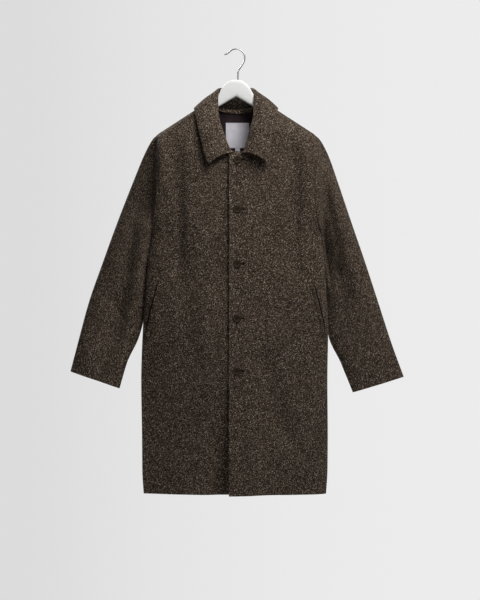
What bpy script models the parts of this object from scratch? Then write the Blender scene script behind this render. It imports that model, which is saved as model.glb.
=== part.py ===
"""Single-breasted tweed car coat hanging on a painted hanger, as hollow cloth walls.

Sizes are millimetres until a mesh is made. +X is the wearer's left, -Y is the front and +Z is up.
The origin is the inside top of the hanger's hook, where a rail holds the coat.
"""

import math
from collections import namedtuple

import bmesh
import bpy
import numpy as np
from mathutils import Vector

MM = 0.001
LEFT, RIGHT = 1, -1
FRONT, BACK = -1, 1

# Cloth and seams
CLOTH = 2.0
LINING_CLOTH = 1.0
SEAM_GAP = 0.3
LAY_GAP = 0.3
COLLAR_GAP, ROLL_GAP = 0.8, 0.4

# Heights of the coat's main lines
HEM_Z = -1153.0
UNDERARM_Z = -478.0
SHOULDER_X, SHOULDER_Z = 207.0, -222.0
SHOULDER_SLOPE = 0.649
SHOULDER_SEAM_DROP = 16.5
CAP_HEIGHT = 70.0
SECTION_POWER = 2.5
FRONT_SCYE, BACK_SCYE = 14.0, 9.0

# Neck and front edges
NECK_X, NECK_BEND = 76.0, 1.3
THROAT_Z = -265.0
NAPE_Z, NAPE_X = -153.0, 64.0
NAPE_COLUMNS = (0.0, 16.0, 31.0, 45.0, 56.0, NAPE_X, 71.0, NECK_X)
LAP_OVER, LAP_UNDER = 18.0, 22.0
LAP_STEP, LAP_FADE_FROM, LAP_FADE_TO = 1.4, 30.0, 75.0
LAST_BUTTON_Z = -833.0
OVER_SWING, UNDER_SWING = 5.0, 3.5
FRONT_CORNER_DROP = 4.0
COLLAR_END_X = 17.0

# Half widths on the wearer's right and left, and the depths in front of and behind the side seams.
# Above the underarm the widths run on into the sleeve, so that the front stays flat up to the armhole.
Level = namedtuple("Level", "z right left front back")
BODY = (
    Level(-1160, 240, 234, 56, 60),
    Level(-1100, 244, 238, 56, 58),
    Level(-1000, 245, 239, 55, 56),
    Level(-860, 247, 238, 54, 54),
    Level(-716, 242, 240, 51, 51),
    Level(-640, 237, 236, 49, 50),
    Level(-547, 230, 230, 47, 49),
    Level(-478, 221, 222, 46, 48),
    Level(-440, 241, 242, 45, 47),
    Level(-400, 273, 274, 44, 46),
    Level(-340, 318, 318, 42, 45),
    Level(-280, 335, 335, 39, 43),
    Level(-200, 340, 340, 35, 38),
    Level(-90, 340, 340, 31, 34),
)

# Soft troughs hung from the shoulders: a straight line on one face, how wide and how deep
Fold = namedtuple("Fold", "face x_high z_high x_low z_low width depth")
BODY_FOLDS = (
    Fold(FRONT, -146, -215, -144, -650, 24, 4.5),
    Fold(FRONT, 157, -205, 160, -640, 26, 5.0),
    Fold(FRONT, 74, -740, 128, -1060, 40, 4.0),
    Fold(FRONT, -96, -900, -112, -1240, 44, 3.5),
    Fold(BACK, -118, -300, -132, -1240, 34, 6.0),
    Fold(BACK, 112, -290, 124, -1240, 34, 6.0),
    Fold(BACK, 6, -420, 2, -1240, 46, 4.5),
)
FOLD_END = 90.0

# Sleeve sections from armhole to cuff: the outer and inner edge, and the depths about the set-back line
Section = namedtuple("Section", "share outer_x outer_z inner_x inner_z front back set_back")
SLEEVES = {
    LEFT: (
        Section(0.00, 207, -222, 222, -478, 42, 44, 0),
        Section(0.06, 224, -244, 224, -486, 43, 46, 2),
        Section(0.14, 243, -281, 226, -500, 46, 49, 3),
        Section(0.26, 268, -352, 230, -530, 48, 52, 5),
        Section(0.40, 300, -446, 236, -590, 46, 51, 7),
        Section(0.55, 336, -550, 240, -660, 39, 44, 8),
        Section(0.70, 372, -660, 246, -745, 31, 35, 8),
        Section(0.85, 405, -762, 274, -817, 24, 28, 7),
        Section(1.00, 437, -850, 304, -891, 20, 23, 6),
    ),
    RIGHT: (
        Section(0.00, 207, -222, 221, -478, 42, 44, 0),
        Section(0.06, 223, -244, 223, -486, 43, 46, 2),
        Section(0.14, 243, -281, 225, -500, 46, 49, 3),
        Section(0.26, 273, -352, 230, -530, 48, 52, 5),
        Section(0.40, 310, -446, 237, -590, 46, 51, 7),
        Section(0.55, 348, -550, 242, -660, 39, 44, 8),
        Section(0.70, 385, -656, 256, -745, 31, 35, 8),
        Section(0.85, 412, -756, 282, -812, 24, 28, 7),
        Section(1.00, 433, -837, 302, -880, 20, 23, 6),
    ),
}
SLEEVE_POWER = 2.2
SLEEVE_SETTLE = 0.30

# Troughs down the sleeves' fronts, as shares across from the inner to the outer edge
SleeveFold = namedtuple("SleeveFold", "side share_high across_high share_low across_low width depth")
SLEEVE_FOLDS = (
    SleeveFold(RIGHT, 0.10, 0.74, 0.72, 0.30, 24, 6.0),
    SleeveFold(LEFT, 0.10, 0.72, 0.74, 0.22, 24, 6.0),
)

# Collar from the nape to its front end: the neck side of the roll, which way the roll turns out,
# the outer edge on the coat (across, and past the shoulder line towards the front), the bulge between
# the two and how far the edge stands off the coat
Station = namedtuple("Station", "share roll_x roll_y roll_z turn edge_x edge_past bulge lift")
COLLAR = (
    Station(0.00, 0, 26, -101, 90, 0, -90, 3.0, 1.5),
    Station(0.15, 20, 24, -101, 70, 52, -55, 3.0, 1.8),
    Station(0.30, 38, 14, -102, 35, 88, -20, 2.0, 2.6),
    Station(0.42, 45, 0, -110, 5, 106, 0, 2.0, 3.6),
    Station(0.53, 46, -13, -135, -15, 102, 27, 5.5, 2.4),
    Station(0.66, 43, -24, -177, -35, 95, 69, 6.0, 1.2),
    Station(0.79, 34, -31, -215, -50, 87, 106, 5.0, 1.2),
    Station(0.91, 24, -34, -246, -60, 79, 143, 4.0, 1.2),
    Station(1.00, 16, -35, -259, -68, 70, 168, 3.0, 1.2),
)
ROLL_RADIUS = 4.5

# Pocket welts: arc forward of the side seam at the upper and lower end
WELT_HIGH_Z, WELT_LOW_Z = -610.0, -742.0
WELT_HIGH_ARC, WELT_LOW_ARC = 50.0, 24.0
WELT_WIDTH = 8.0

# Buttons
BUTTON_DIAMETER, BUTTON_THICK, BUTTON_RIM, BUTTON_DISH = 20.0, 3.6, 2.4, 1.0
BUTTON_X = 3.5
BUTTON_ZS = (-289.0, -417.0, -557.0, -698.0, LAST_BUTTON_Z)

# Lining and label inside the back
LINING_FIRST_ROW, LINING_ROWS, LINING_COLUMNS = 4, 9, 7
LINING_TOP_DROP, LINING_RIDGE_DROP = 5.0, 24.0
LABEL_X, LABEL_WIDTH, LABEL_HIGH_Z, LABEL_LOW_Z = 4.0, 61.0, -190.0, -258.0
LINING_GAP, LABEL_EASE = 0.8, 0.4
TAB_WIDTH, TAB_LENGTH = 12.0, 16.0

# Hanger and hook
Rise = namedtuple("Rise", "x top")
HANGER_HUMP = (Rise(0, -78), Rise(14, -80.5), Rise(26, -88), Rise(36, -99), Rise(42, -110), Rise(47, -118.5),
               Rise(54, -129), Rise(64, -138.5), Rise(76, -145.5))
HANGER_ARM_FROM, HANGER_END_X = 100.0, 198.0
HANGER_NOTCH_Z, HANGER_NOTCH_SLOPE = -122.0, 0.587
HANGER_HALF_THICK, HANGER_POWER = 7.0, 2.2
HOOK_WIRE, HOOK_RADIUS = 3.6, 23.0
HOOK_STEM_X, HOOK_STEM_TOP, HOOK_SIDES = 5.0, -56.0, 8

# Mesh counts
LOW_ROWS, HIGH_ROWS, FRONT_COLUMNS, BACK_COLUMNS = 13, 9, 17, 15
NECK_COLUMNS = 7
COLUMN_CROWD = 1.6
SLEEVE_RINGS = 17
BACK_CLIMB = (-40.0, -20.0, -8.0, -2.5, 0.0, 3.0, 9.0, SHOULDER_SEAM_DROP - SEAM_GAP / 2)
BACK_RISE_ROWS, BACK_RISE_TOP, BACK_SETTLE = 5, -60.0, 260.0

TWEED = ("tweed_coating", (0.052, 0.036, 0.026), 0.95, 0.0)
LINING = ("satin_lining", (0.018, 0.012, 0.012), 0.5, 0.0)
WOVEN_LABEL = ("woven_label", (0.60, 0.59, 0.63), 0.6, 0.0)
HORN = ("horn_button", (0.022, 0.015, 0.010), 0.45, 0.0)
PAINTED_BEECH = ("painted_beech", (0.80, 0.80, 0.78), 0.4, 0.0)
BRIGHT_STEEL = ("bright_steel", (0.55, 0.55, 0.56), 0.22, 1.0)


# Curves and meshes

def through(knots, values):
    """A smooth function through the given pairs that doesn't overshoot them."""
    k, v = np.asarray(knots, float), np.asarray(values, float)
    step = np.diff(k)
    rise = np.diff(v) / step
    slope = np.concatenate([rise[:1], np.zeros(len(k) - 2), rise[-1:]])
    product = rise[:-1] * rise[1:]
    total = np.where(product > 0, rise[:-1] + rise[1:], 1.0)
    slope[1:-1] = np.where(product > 0, 2 * product / total, 0.0)

    def at(x):
        x = np.clip(np.asarray(x, float), k[0], k[-1])
        i = np.clip(np.searchsorted(k, x) - 1, 0, len(step) - 1)
        u = (x - k[i]) / step[i]
        start = v[i] * (1 + 2 * u) + slope[i] * step[i] * u
        end = v[i + 1] * (3 - 2 * u) - slope[i + 1] * step[i] * (1 - u)
        return start * (1 - u) ** 2 + end * u**2

    return at


def columns(rows, key):
    """Functions of the rows' key column, one for each of the other columns."""
    names = [name for name in rows[0]._fields if name != key]
    knots = [getattr(row, key) for row in rows]
    return {name: through(knots, [getattr(row, name) for row in rows]) for name in names}


def ease(x):
    x = np.clip(x, 0.0, 1.0)
    return x * x * (3 - 2 * x)


def unit(v):
    return v / np.linalg.norm(v, axis=-1, keepdims=True)


def grid_ways(grid, closed=False):
    """Directions square to a grid of points, from the run of its rows and columns."""
    down = np.gradient(grid, axis=0)
    if closed:
        across = np.roll(grid, -1, axis=1) - np.roll(grid, 1, axis=1)
    else:
        across = np.gradient(grid, axis=1)
    return unit(np.cross(across, down))


def make_material(name, colour, roughness, metallic):
    found = bpy.data.materials.get(name)
    if found:
        return found
    material = bpy.data.materials.new(name)
    material.use_nodes = True
    shader = material.node_tree.nodes["Principled BSDF"]
    shader.inputs["Base Color"].default_value = (*colour, 1.0)
    shader.inputs["Roughness"].default_value = roughness
    shader.inputs["Metallic"].default_value = metallic
    material.diffuse_color = (*colour, 1.0)
    return material


def add_object(name, data, finish):
    obj = bpy.data.objects.new(name, data)
    bpy.context.scene.collection.objects.link(obj)
    data.materials.append(make_material(*finish))
    return obj


def add_mesh(name, points, faces, finish):
    mesh = bpy.data.meshes.new(name)
    mesh.from_pydata([tuple(p * MM) for p in points], [], faces)
    work = bmesh.new()
    work.from_mesh(mesh)
    bmesh.ops.recalc_face_normals(work, faces=work.faces)
    work.to_mesh(mesh)
    work.free()
    mesh.shade_smooth()
    mesh.set_sharp_from_angle(angle=math.radians(40))
    return add_object(name, mesh, finish)


def halves(points, a, b, c, d):
    """The two triangles of a four-sided face, cut along its shorter diagonal."""
    if np.linalg.norm(points[a] - points[c]) <= np.linalg.norm(points[b] - points[d]):
        return [(a, b, c), (a, c, d)]
    return [(b, c, d), (b, d, a)]


def add_wall(name, outer, inner, finish, closed=False):
    """A closed wall between two grids of points (rows, columns, 3); a tube where closed."""
    rows, cols = outer.shape[:2]
    points = np.concatenate([outer.reshape(-1, 3), inner.reshape(-1, 3)])
    behind = rows * cols
    spans = [(j, (j + 1) % cols) for j in range(cols if closed else cols - 1)]
    faces = []
    for i in range(rows - 1):
        for j, k in spans:
            cut = halves(points, i * cols + j, i * cols + k, (i + 1) * cols + k, (i + 1) * cols + j)
            faces += cut + [(behind + c, behind + b, behind + a) for a, b, c in cut]
    rims = [(i * cols + j, i * cols + k) for i in (0, rows - 1) for j, k in spans]
    if not closed:
        rims += [(i * cols + j, (i + 1) * cols + j) for j in (0, cols - 1) for i in range(rows - 1)]
    for a, b in rims:
        faces += halves(points, a, b, behind + b, behind + a)
    return add_mesh(name, points, faces, finish)


def add_bar(name, rings, finish):
    """A solid bar through a row of rings (ring, point, 3), closed at both ends."""
    count, sides = rings.shape[:2]
    last = (count - 1) * sides
    faces = [tuple(range(sides)), tuple(last + j for j in reversed(range(sides)))]
    for i in range(count - 1):
        for j in range(sides):
            a, b = i * sides + j, i * sides + (j + 1) % sides
            faces.append((a, a + sides, b + sides, b))
    return add_mesh(name, rings.reshape(-1, 3), faces, finish)


# The coat's body as one surface

BODY_AT = columns(sorted(BODY), "z")


def ridge(x):
    """Height of the shoulder line, which runs on straight to the centre."""
    return SHOULDER_Z + (SHOULDER_X - np.abs(x)) * SHOULDER_SLOPE


def half_width(x, z):
    return np.where(np.asarray(x) < 0, BODY_AT["right"](z), BODY_AT["left"](z))


def depth(face, z):
    return BODY_AT["front"](z) if face == FRONT else BODY_AT["back"](z)


def cap(x, z):
    """Share of the full depth just below the shoulder line, where the cloth goes over the hanger."""
    share = np.clip((ridge(x) - z) / CAP_HEIGHT, 0.0, 1.0)
    return np.sqrt(1 - (1 - share) ** 2)


def flatness(x, z):
    """Share of the depth left at x on the way from the centre to the side seam."""
    share = np.clip(np.abs(x) / half_width(x, z), 0.0, 1.0)
    return (1 - share**SECTION_POWER) ** (1 / SECTION_POWER)


def fold_lift(face, x, z):
    """How far the troughs take the cloth out, which is less than nothing."""
    lift = np.zeros(np.broadcast(x, z).shape)
    for fold in BODY_FOLDS:
        if fold.face != face:
            continue
        share = (fold.z_high - z) / (fold.z_high - fold.z_low)
        middle = fold.x_high + (fold.x_low - fold.x_high) * share
        fade = ease((fold.z_high - z) / FOLD_END) * ease((z - fold.z_low) / FOLD_END)
        lift = lift - fold.depth * fade * np.exp(-(((x - middle) / fold.width) ** 2))
    return lift


def lap_lift(side, x, z):
    """The lapped fronts part by a step at the centre, and swing apart below the last button."""
    share = 1 - ease((np.abs(x) - LAP_FADE_FROM) / (LAP_FADE_TO - LAP_FADE_FROM))
    swing = ease((LAST_BUTTON_Z - z) / (LAST_BUTTON_Z - HEM_Z))
    out = LAP_STEP + OVER_SWING * swing if side == LEFT else -LAP_STEP - UNDER_SWING * swing
    return share * out


def base_y(face, x, z):
    return face * depth(face, z) * flatness(x, z) * cap(x, z)


def body_normal(face, x, z):
    """Outward direction of the body without its folds."""
    y = base_y(face, x, z)
    step = 0.01

    def section_form(px, py, pz):
        across = (np.abs(px) / half_width(px, pz)) ** SECTION_POWER
        return across + (np.abs(py) / (depth(face, pz) * cap(px, pz) + 1e-9)) ** SECTION_POWER

    def cap_form(px, py, pz):
        high = 1 - (ridge(px) - pz) / CAP_HEIGHT
        return (py / (depth(face, pz) * flatness(px, pz) + 1e-9)) ** 2 + high**2

    def gradient(form):
        along_x = form(x + step, y, z) - form(x - step, y, z)
        along_y = form(x, y + step, z) - form(x, y - step, z)
        along_z = form(x, y, z + step) - form(x, y, z - step)
        return np.stack(np.broadcast_arrays(along_x, along_y, along_z), axis=-1)

    near_ridge = (ridge(x) - z) < 0.6 * CAP_HEIGHT
    return unit(np.where(near_ridge[..., None], gradient(cap_form), gradient(section_form)))


def skin(face, x, z, lift=0.0):
    """Points of the cloth's outer side and the outward directions there."""
    x, z = np.broadcast_arrays(np.asarray(x, float), np.asarray(z, float))
    y = base_y(face, x, z) + face * (fold_lift(face, x, z) + lift)
    return np.stack([x, y, z], axis=-1), body_normal(face, x, z)


def skin_past(x, past):
    """The skin at a distance past the shoulder line, towards the front where it is positive."""
    z = ridge(x) - np.abs(past)
    in_front, front_way = skin(FRONT, x, z)
    behind, back_way = skin(BACK, x, z)
    front = (past > 0)[..., None]
    return np.where(front, in_front, behind), np.where(front, front_way, back_way)


# Panels

def crowd(count):
    """Shares from 0 to 1 that crowd towards the side seam."""
    return 1 - (1 - np.linspace(0, 1, count + 1)) ** COLUMN_CROWD


def scye(share, from_x, bow):
    """How far out the armhole runs, from the underarm to the shoulder."""
    return from_x + (SHOULDER_X - from_x) * share - bow * np.sin(np.pi * share**0.8)


def low_heights():
    return np.linspace(HEM_Z, UNDERARM_Z, LOW_ROWS + 1)


def front_top(edge):
    """The neckline from the front edge to the shoulder, then the shoulder seam: across, and height."""
    angles = np.linspace(math.pi / 2, 0, NECK_COLUMNS - 1)
    seam_z = ridge(NECK_X) - SHOULDER_SEAM_DROP - SEAM_GAP / 2
    curve_out = COLLAR_END_X + (NECK_X - COLLAR_END_X) * np.abs(np.cos(angles)) ** NECK_BEND
    neck_out = np.concatenate([[-edge, 0.0], curve_out])
    neck_z = np.concatenate([[THROAT_Z] * 2, seam_z + (THROAT_Z - seam_z) * np.sin(angles) ** NECK_BEND])
    seam_out = np.linspace(NECK_X, SHOULDER_X, FRONT_COLUMNS - NECK_COLUMNS + 1)[1:]
    seam_heights = ridge(seam_out) - SHOULDER_SEAM_DROP - SEAM_GAP / 2
    return np.concatenate([neck_out, seam_out]), np.concatenate([neck_z, seam_heights])


def front_panel(side):
    """Outer and inner points of one front: rows from the hem up, columns from its edge to the side."""
    edge = LAP_OVER if side == LEFT else LAP_UNDER
    share = crowd(FRONT_COLUMNS)
    z_low = np.repeat(low_heights()[:, None], len(share), axis=1)
    out_low = -edge + (half_width(side, z_low) + edge) * share
    if side == LEFT:
        z_low = z_low - FRONT_CORNER_DROP * (1 - ease((out_low + edge) / 90)) * ease((-1000 - z_low) / 150)
    top_out, top_z = front_top(edge)
    climb = ((1 - np.cos(np.pi * np.arange(1, HIGH_ROWS + 1) / HIGH_ROWS)) / 2)[:, None]
    under_out = out_low[-1]
    straight = under_out + (top_out - under_out) * climb
    bow = scye(climb, under_out[-1], FRONT_SCYE) - straight[:, -1:]
    out_high = straight + bow * share**4
    z_high = UNDERARM_Z + (top_z - UNDERARM_Z) * climb
    out, z = np.concatenate([out_low, out_high]), np.concatenate([z_low, z_high])
    outer, way = skin(FRONT, side * out, z, lap_lift(side, out, z))
    outer[: LOW_ROWS + 1, -1, 1] = -SEAM_GAP / 2
    return outer, outer - CLOTH * way


def nape_past(x):
    """The back neckline, as a distance past the shoulder line."""
    low = NAPE_Z + (ridge(NAPE_X) - NAPE_Z) * (np.minimum(x, NAPE_X) / NAPE_X) ** 3 - ridge(x)
    over = BACK_CLIMB[-1] * (x - NAPE_X) / (NECK_X - NAPE_X)
    return np.where(x < NAPE_X, low, over)


def back_panel():
    """Outer and inner points of the back, as rows from the hem over the shoulders and columns across."""
    half = crowd(BACK_COLUMNS)
    share = np.concatenate([-half[:0:-1], half])
    z_low = np.repeat(low_heights()[:, None], len(share), axis=1)
    x_low = half_width(share, z_low) * share
    low, low_way = skin(BACK, x_low, z_low)
    low[:, [0, -1], 1] = SEAM_GAP / 2

    seam_out = np.linspace(NECK_X, SHOULDER_X, BACK_COLUMNS - NECK_COLUMNS + 1)[1:]
    top_half = np.concatenate([NAPE_COLUMNS, seam_out])
    past_half = np.where(top_half < NECK_X, nape_past(top_half), BACK_CLIMB[-1])
    top_out = np.concatenate([top_half[:0:-1], top_half])
    top_past = np.concatenate([past_half[:0:-1], past_half])
    side = np.where(share < 0, RIGHT, LEFT)

    rise = (1 - np.cos(np.pi * np.arange(1, BACK_RISE_ROWS + 1) / (BACK_RISE_ROWS + 3))) / 2
    rows = [(climb, None) for climb in rise]
    rows += [(min(1.0, 1 + level / BACK_SETTLE), level) for level in BACK_CLIMB]
    out_under = np.abs(x_low[-1])
    outers, ways = [], []
    for settled, level in rows:
        straight = out_under + (top_out - out_under) * settled
        bow = scye(settled, out_under[-1], BACK_SCYE) - straight[-1]
        out = straight + bow * np.abs(share) ** 4
        below = UNDERARM_Z - ridge(out)
        past = below + (BACK_RISE_TOP - below) * settled if level is None else level
        past = below + (past - below) * (top_past - below) / (BACK_CLIMB[-1] - below)
        points, way = skin_past(side * out, past)
        outers.append(points)
        ways.append(way)
    outer = np.concatenate([low, np.stack(outers)])
    way = np.concatenate([low_way, np.stack(ways)])
    return outer, outer - CLOTH * way


def armhole(side, front, back):
    """The armhole's points in order: from the shoulder seam down the front, and up the back."""
    down_front = front[:, -1][LOW_ROWS:][::-1]
    up_back = back[:, -1 if side == LEFT else 0][LOW_ROWS:]
    loop = np.concatenate([down_front, up_back[1:-1]])
    loop[0] = (down_front[0] + up_back[-1]) / 2
    loop[HIGH_ROWS] = (down_front[-1] + up_back[0]) / 2
    return loop + np.array([side * SEAM_GAP, 0, 0])


def sleeve(side, outer_loop, inner_loop):
    """Outer and inner points of a sleeve, as rings from the armhole to the cuff."""
    at = columns(SLEEVES[side], "share")
    shares = np.linspace(0, 1, SLEEVE_RINGS + 1) ** 1.25

    def frame(share):
        outer = np.array([side * at["outer_x"](share), 0, at["outer_z"](share)])
        inner = np.array([side * at["inner_x"](share), 0, at["inner_z"](share)])
        return (outer + inner) / 2 + [0, at["set_back"](share), 0], (outer - inner) / 2

    middle, reach = frame(0.0)
    along = (outer_loop - middle) @ unit(reach) / np.linalg.norm(reach)
    angle = np.arccos(np.clip(along, -1, 1))
    in_front = outer_loop[:, 1] < 0
    start = outer_loop - ring_points(side, at, frame, 0.0, angle, in_front)
    outer = np.stack([ring_points(side, at, frame, share, angle, in_front)
                      + start * (1 - ease(share / SLEEVE_SETTLE)) for share in shares])
    way = side * grid_ways(outer, closed=True)
    inner = outer - CLOTH * way
    seamed = np.sum(unit(outer_loop - inner_loop) * way[0], axis=-1) > 0.5
    inner[0] = np.where(seamed[:, None], inner_loop, inner[0])
    return outer, inner


def ring_points(side, at, frame, share, angle, in_front):
    """One sleeve section without the armhole's own shape."""
    middle, reach = frame(share)
    deep = np.where(in_front, at["front"](share), at["back"](share))
    face = np.where(in_front, FRONT, BACK)
    cos, sin = np.cos(angle), np.abs(np.sin(angle))
    across = np.sign(cos) * np.abs(cos) ** (2 / SLEEVE_POWER)
    lift = face * deep * sin ** (2 / SLEEVE_POWER)
    trough = np.zeros_like(lift)
    for fold in SLEEVE_FOLDS:
        if fold.side != side:
            continue
        run = (share - fold.share_high) / (fold.share_low - fold.share_high)
        fade = ease(run / 0.2) * ease((1 - run) / 0.3)
        centre = 2 * (fold.across_high + (fold.across_low - fold.across_high) * run) - 1
        away = (across - centre) * np.linalg.norm(reach) / fold.width
        trough += np.where(in_front, fold.depth * fade * np.exp(-(away**2)), 0.0)
    return middle + across[:, None] * reach + (lift + trough)[:, None] * np.array([0, 1, 0])


# Collar

def neckline(right, back, left):
    """The neckline's points from the right front's collar end round the nape to the left's."""
    first, last = 2, NECK_COLUMNS
    right_side = right[-1, first : last + 1]
    left_side = left[-1, first : last + 1][::-1]
    middle = BACK_COLUMNS
    nape = back[-1, middle - NECK_COLUMNS : middle + NECK_COLUMNS + 1]
    line = np.concatenate([right_side, nape[1:-1], left_side])
    line[last - first] = (right_side[-1] + nape[0]) / 2
    line[-(last - first) - 1] = (left_side[0] + nape[-1]) / 2
    return halve(line)


def halve(line):
    """The same line with a point added in the middle of each stretch."""
    finer = np.repeat(line, 2, axis=0)[:-1]
    finer[1::2] = (line[:-1] + line[1:]) / 2
    return finer


def collar_stations(line):
    """For each neckline point: the roll's neck side, the way it turns out, the outer edge and the bulge."""
    run = np.concatenate([[0], np.cumsum(np.linalg.norm(np.diff(line, axis=0), axis=1))])
    share = np.abs(2 * run / run[-1] - 1)
    side = np.where(run < run[-1] / 2, RIGHT, LEFT)
    at = columns(COLLAR, "share")
    roll = np.stack([side * at["roll_x"](share), at["roll_y"](share), at["roll_z"](share)], axis=-1)
    turn = np.radians(at["turn"](share))
    out = np.stack([side * np.cos(turn), np.sin(turn), np.zeros_like(turn)], axis=-1)
    edge, way = skin_past(side * at["edge_x"](share), at["edge_past"](share))
    lift = CLOTH + at["lift"](share)
    return roll, out, edge + lift[:, None] * way, way, at["bulge"](share)


def collar_stand(outer_line, inner_line, roll, out):
    """The stand from the neckline up to the roll, leaning in towards the neck."""
    gap = COLLAR_GAP * unit(roll - inner_line)
    low_outer, low_inner = outer_line + gap, inner_line + gap
    top_inner = roll - np.array([0.0, 0.0, ROLL_GAP])
    top_outer = top_inner + CLOTH * out
    shares = np.linspace(0, 1, 4)[:, None, None]
    return low_outer + (top_outer - low_outer) * shares, low_inner + (top_inner - low_inner) * shares


def collar_fall(roll, out, edge, edge_way, bulge):
    """The fall's shown side from the roll to its edge, and its under side."""
    centre = roll + ROLL_RADIUS * out
    up = np.array([0.0, 0.0, 1.0])
    shown, under = [roll], [roll + CLOTH * out]
    for degrees in (135, 90, 45):
        way = math.cos(math.radians(degrees)) * out + math.sin(math.radians(degrees)) * up
        shown.append(centre + ROLL_RADIUS * way)
        under.append(centre + (ROLL_RADIUS - CLOTH) * way)
    start, start_way = shown[-1], unit(out + up)
    bend = (start + edge) / 2 + bulge[:, None] * 2 * unit(start_way + edge_way)
    for share in (0.2, 0.4, 0.6, 0.8, 1.0):
        way = unit(start_way * (1 - share) + edge_way * share)
        point = start * (1 - share) ** 2 + bend * 2 * share * (1 - share) + edge * share**2
        shown.append(point)
        under.append(point - CLOTH * way)
    return np.stack(shown), np.stack(under)


# Small pieces

def front_at_arc(side, arc, z):
    """The across position on a front whose cloth runs the given arc forward from the side seam."""
    angle = np.linspace(0, math.pi / 2, 240)
    x = half_width(side, z) * np.cos(angle) ** (2 / SECTION_POWER)
    y = depth(FRONT, z) * np.sin(angle) ** (2 / SECTION_POWER)
    run = np.concatenate([[0], np.cumsum(np.hypot(np.diff(x), np.diff(y)))])
    return side * np.interp(arc, run, x)


def add_welt(name, side):
    """A narrow welt on the front, slanting towards the side seam."""
    lower, upper = [], []
    for share in np.linspace(0, 1, 9):
        z = WELT_HIGH_Z + (WELT_LOW_Z - WELT_HIGH_Z) * share
        arc = WELT_HIGH_ARC + (WELT_LOW_ARC - WELT_HIGH_ARC) * share
        row = [front_at_arc(side, arc + WELT_WIDTH * part, z - 3 * part) for part in (0, 0.33, 0.67, 1)]
        heights = np.array([z - 3 * part for part in (0, 0.33, 0.67, 1)])
        points, way = skin(FRONT, np.array(row, float), heights, lap_lift(side, np.abs(row), heights))
        lower.append(points + LAY_GAP * way)
        upper.append(points + (LAY_GAP + CLOTH) * way)
    return add_wall(name, np.stack(upper), np.stack(lower), TWEED)


def add_button(name, z):
    """A turned button with a raised rim and a dished face, on the lapped front."""
    radius = BUTTON_DIAMETER / 2
    profile = ((0, 0), (radius - 1.5, 0), (radius, BUTTON_THICK * 0.5), (radius - 0.8, BUTTON_THICK),
               (radius - BUTTON_RIM, BUTTON_THICK), (radius - BUTTON_RIM - 1, BUTTON_THICK - BUTTON_DISH),
               (0, BUTTON_THICK - BUTTON_DISH))
    work = bmesh.new()
    rail = [work.verts.new((r * MM, 0, h * MM)) for r, h in profile]
    edges = [work.edges.new(pair) for pair in zip(rail, rail[1:])]
    bmesh.ops.spin(work, geom=rail + edges, cent=(0, 0, 0), axis=(0, 0, 1), angle=math.tau, steps=20)
    bmesh.ops.remove_doubles(work, verts=work.verts, dist=1e-6)
    bmesh.ops.recalc_face_normals(work, faces=work.faces)
    mesh = bpy.data.meshes.new(name)
    work.to_mesh(mesh)
    work.free()
    mesh.shade_smooth()
    mesh.set_sharp_from_angle(angle=math.radians(40))
    obj = add_object(name, mesh, HORN)
    at, way = skin(FRONT, np.array(BUTTON_X), np.array(z), lap_lift(LEFT, np.array(BUTTON_X), np.array(z)))
    obj.location = Vector((at + (LAY_GAP + 0.1) * way) * MM)
    obj.rotation_euler = Vector(way).to_track_quat("Z", "Y").to_euler()
    return obj


def inside_back(x, z, depth_in):
    """Points a distance in from the back's outer side."""
    points, way = skin(BACK, x, z)
    return points - depth_in * way


def add_inside_sheet(name, xs, z_top, z_low, rows):
    """A woven label that lies on the lining inside the back."""
    depth_in = CLOTH + LINING_GAP + LINING_CLOTH + LABEL_EASE
    z = np.repeat(np.linspace(z_low, z_top, rows)[:, None], len(xs), axis=1)
    x = np.repeat(xs[None, :], rows, axis=0)
    return add_wall(name, inside_back(x, z, depth_in), inside_back(x, z, depth_in + LINING_CLOTH), WOVEN_LABEL)


def add_lining(back, back_in):
    """The lining in the neck, on the back's own points, short of the neck seam and of the hanger's arms."""
    way = (back - back_in) / CLOTH
    first = LOW_ROWS + LINING_FIRST_ROW
    outers, inners = [], []
    for column in range(BACK_COLUMNS - LINING_COLUMNS, BACK_COLUMNS + LINING_COLUMNS + 1):
        path, ways = back_in[first:, column], way[first:, column]
        run = np.concatenate([[0], np.cumsum(np.linalg.norm(np.diff(path, axis=0), axis=1))])
        drop = ridge(path[:, 0]) - path[:, 2]
        rising = int(np.argmin(drop)) + 1
        clear = np.interp(-LINING_RIDGE_DROP, -drop[:rising], run[:rising])
        stops = np.linspace(0, min(run[-1] - LINING_TOP_DROP, clear), LINING_ROWS)
        points = np.stack([np.interp(stops, run, path[:, k]) for k in range(3)], axis=-1)
        turns = unit(np.stack([np.interp(stops, run, ways[:, k]) for k in range(3)], axis=-1))
        outers.append(points - LINING_GAP * turns)
        inners.append(points - (LINING_GAP + LINING_CLOTH) * turns)
    add_wall("back_lining", np.stack(outers, axis=1), np.stack(inners, axis=1), LINING)


def add_label():
    """The neck label on the lining, and the small size tab sewn under it."""
    label_x = LABEL_X + np.linspace(-LABEL_WIDTH / 2, LABEL_WIDTH / 2, 7)
    add_inside_sheet("neck_label", label_x, LABEL_HIGH_Z, LABEL_LOW_Z, 5)
    tab_x = LABEL_X + np.linspace(-TAB_WIDTH / 2, TAB_WIDTH / 2, 3)
    tab_top = LABEL_LOW_Z - SEAM_GAP
    add_inside_sheet("size_tab", tab_x, tab_top, tab_top - TAB_LENGTH, 3)


# Hanger

def hanger_top(x):
    seat = CLOTH * math.hypot(1, SHOULDER_SLOPE) + SEAM_GAP * 1.2
    arm = [Rise(out, ridge(out) - seat) for out in (HANGER_ARM_FROM, 110.0, 160.0, HANGER_END_X)]
    rows = HANGER_HUMP + tuple(arm)
    return through([row.x for row in rows], [row.top for row in rows])(np.abs(x))


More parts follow.
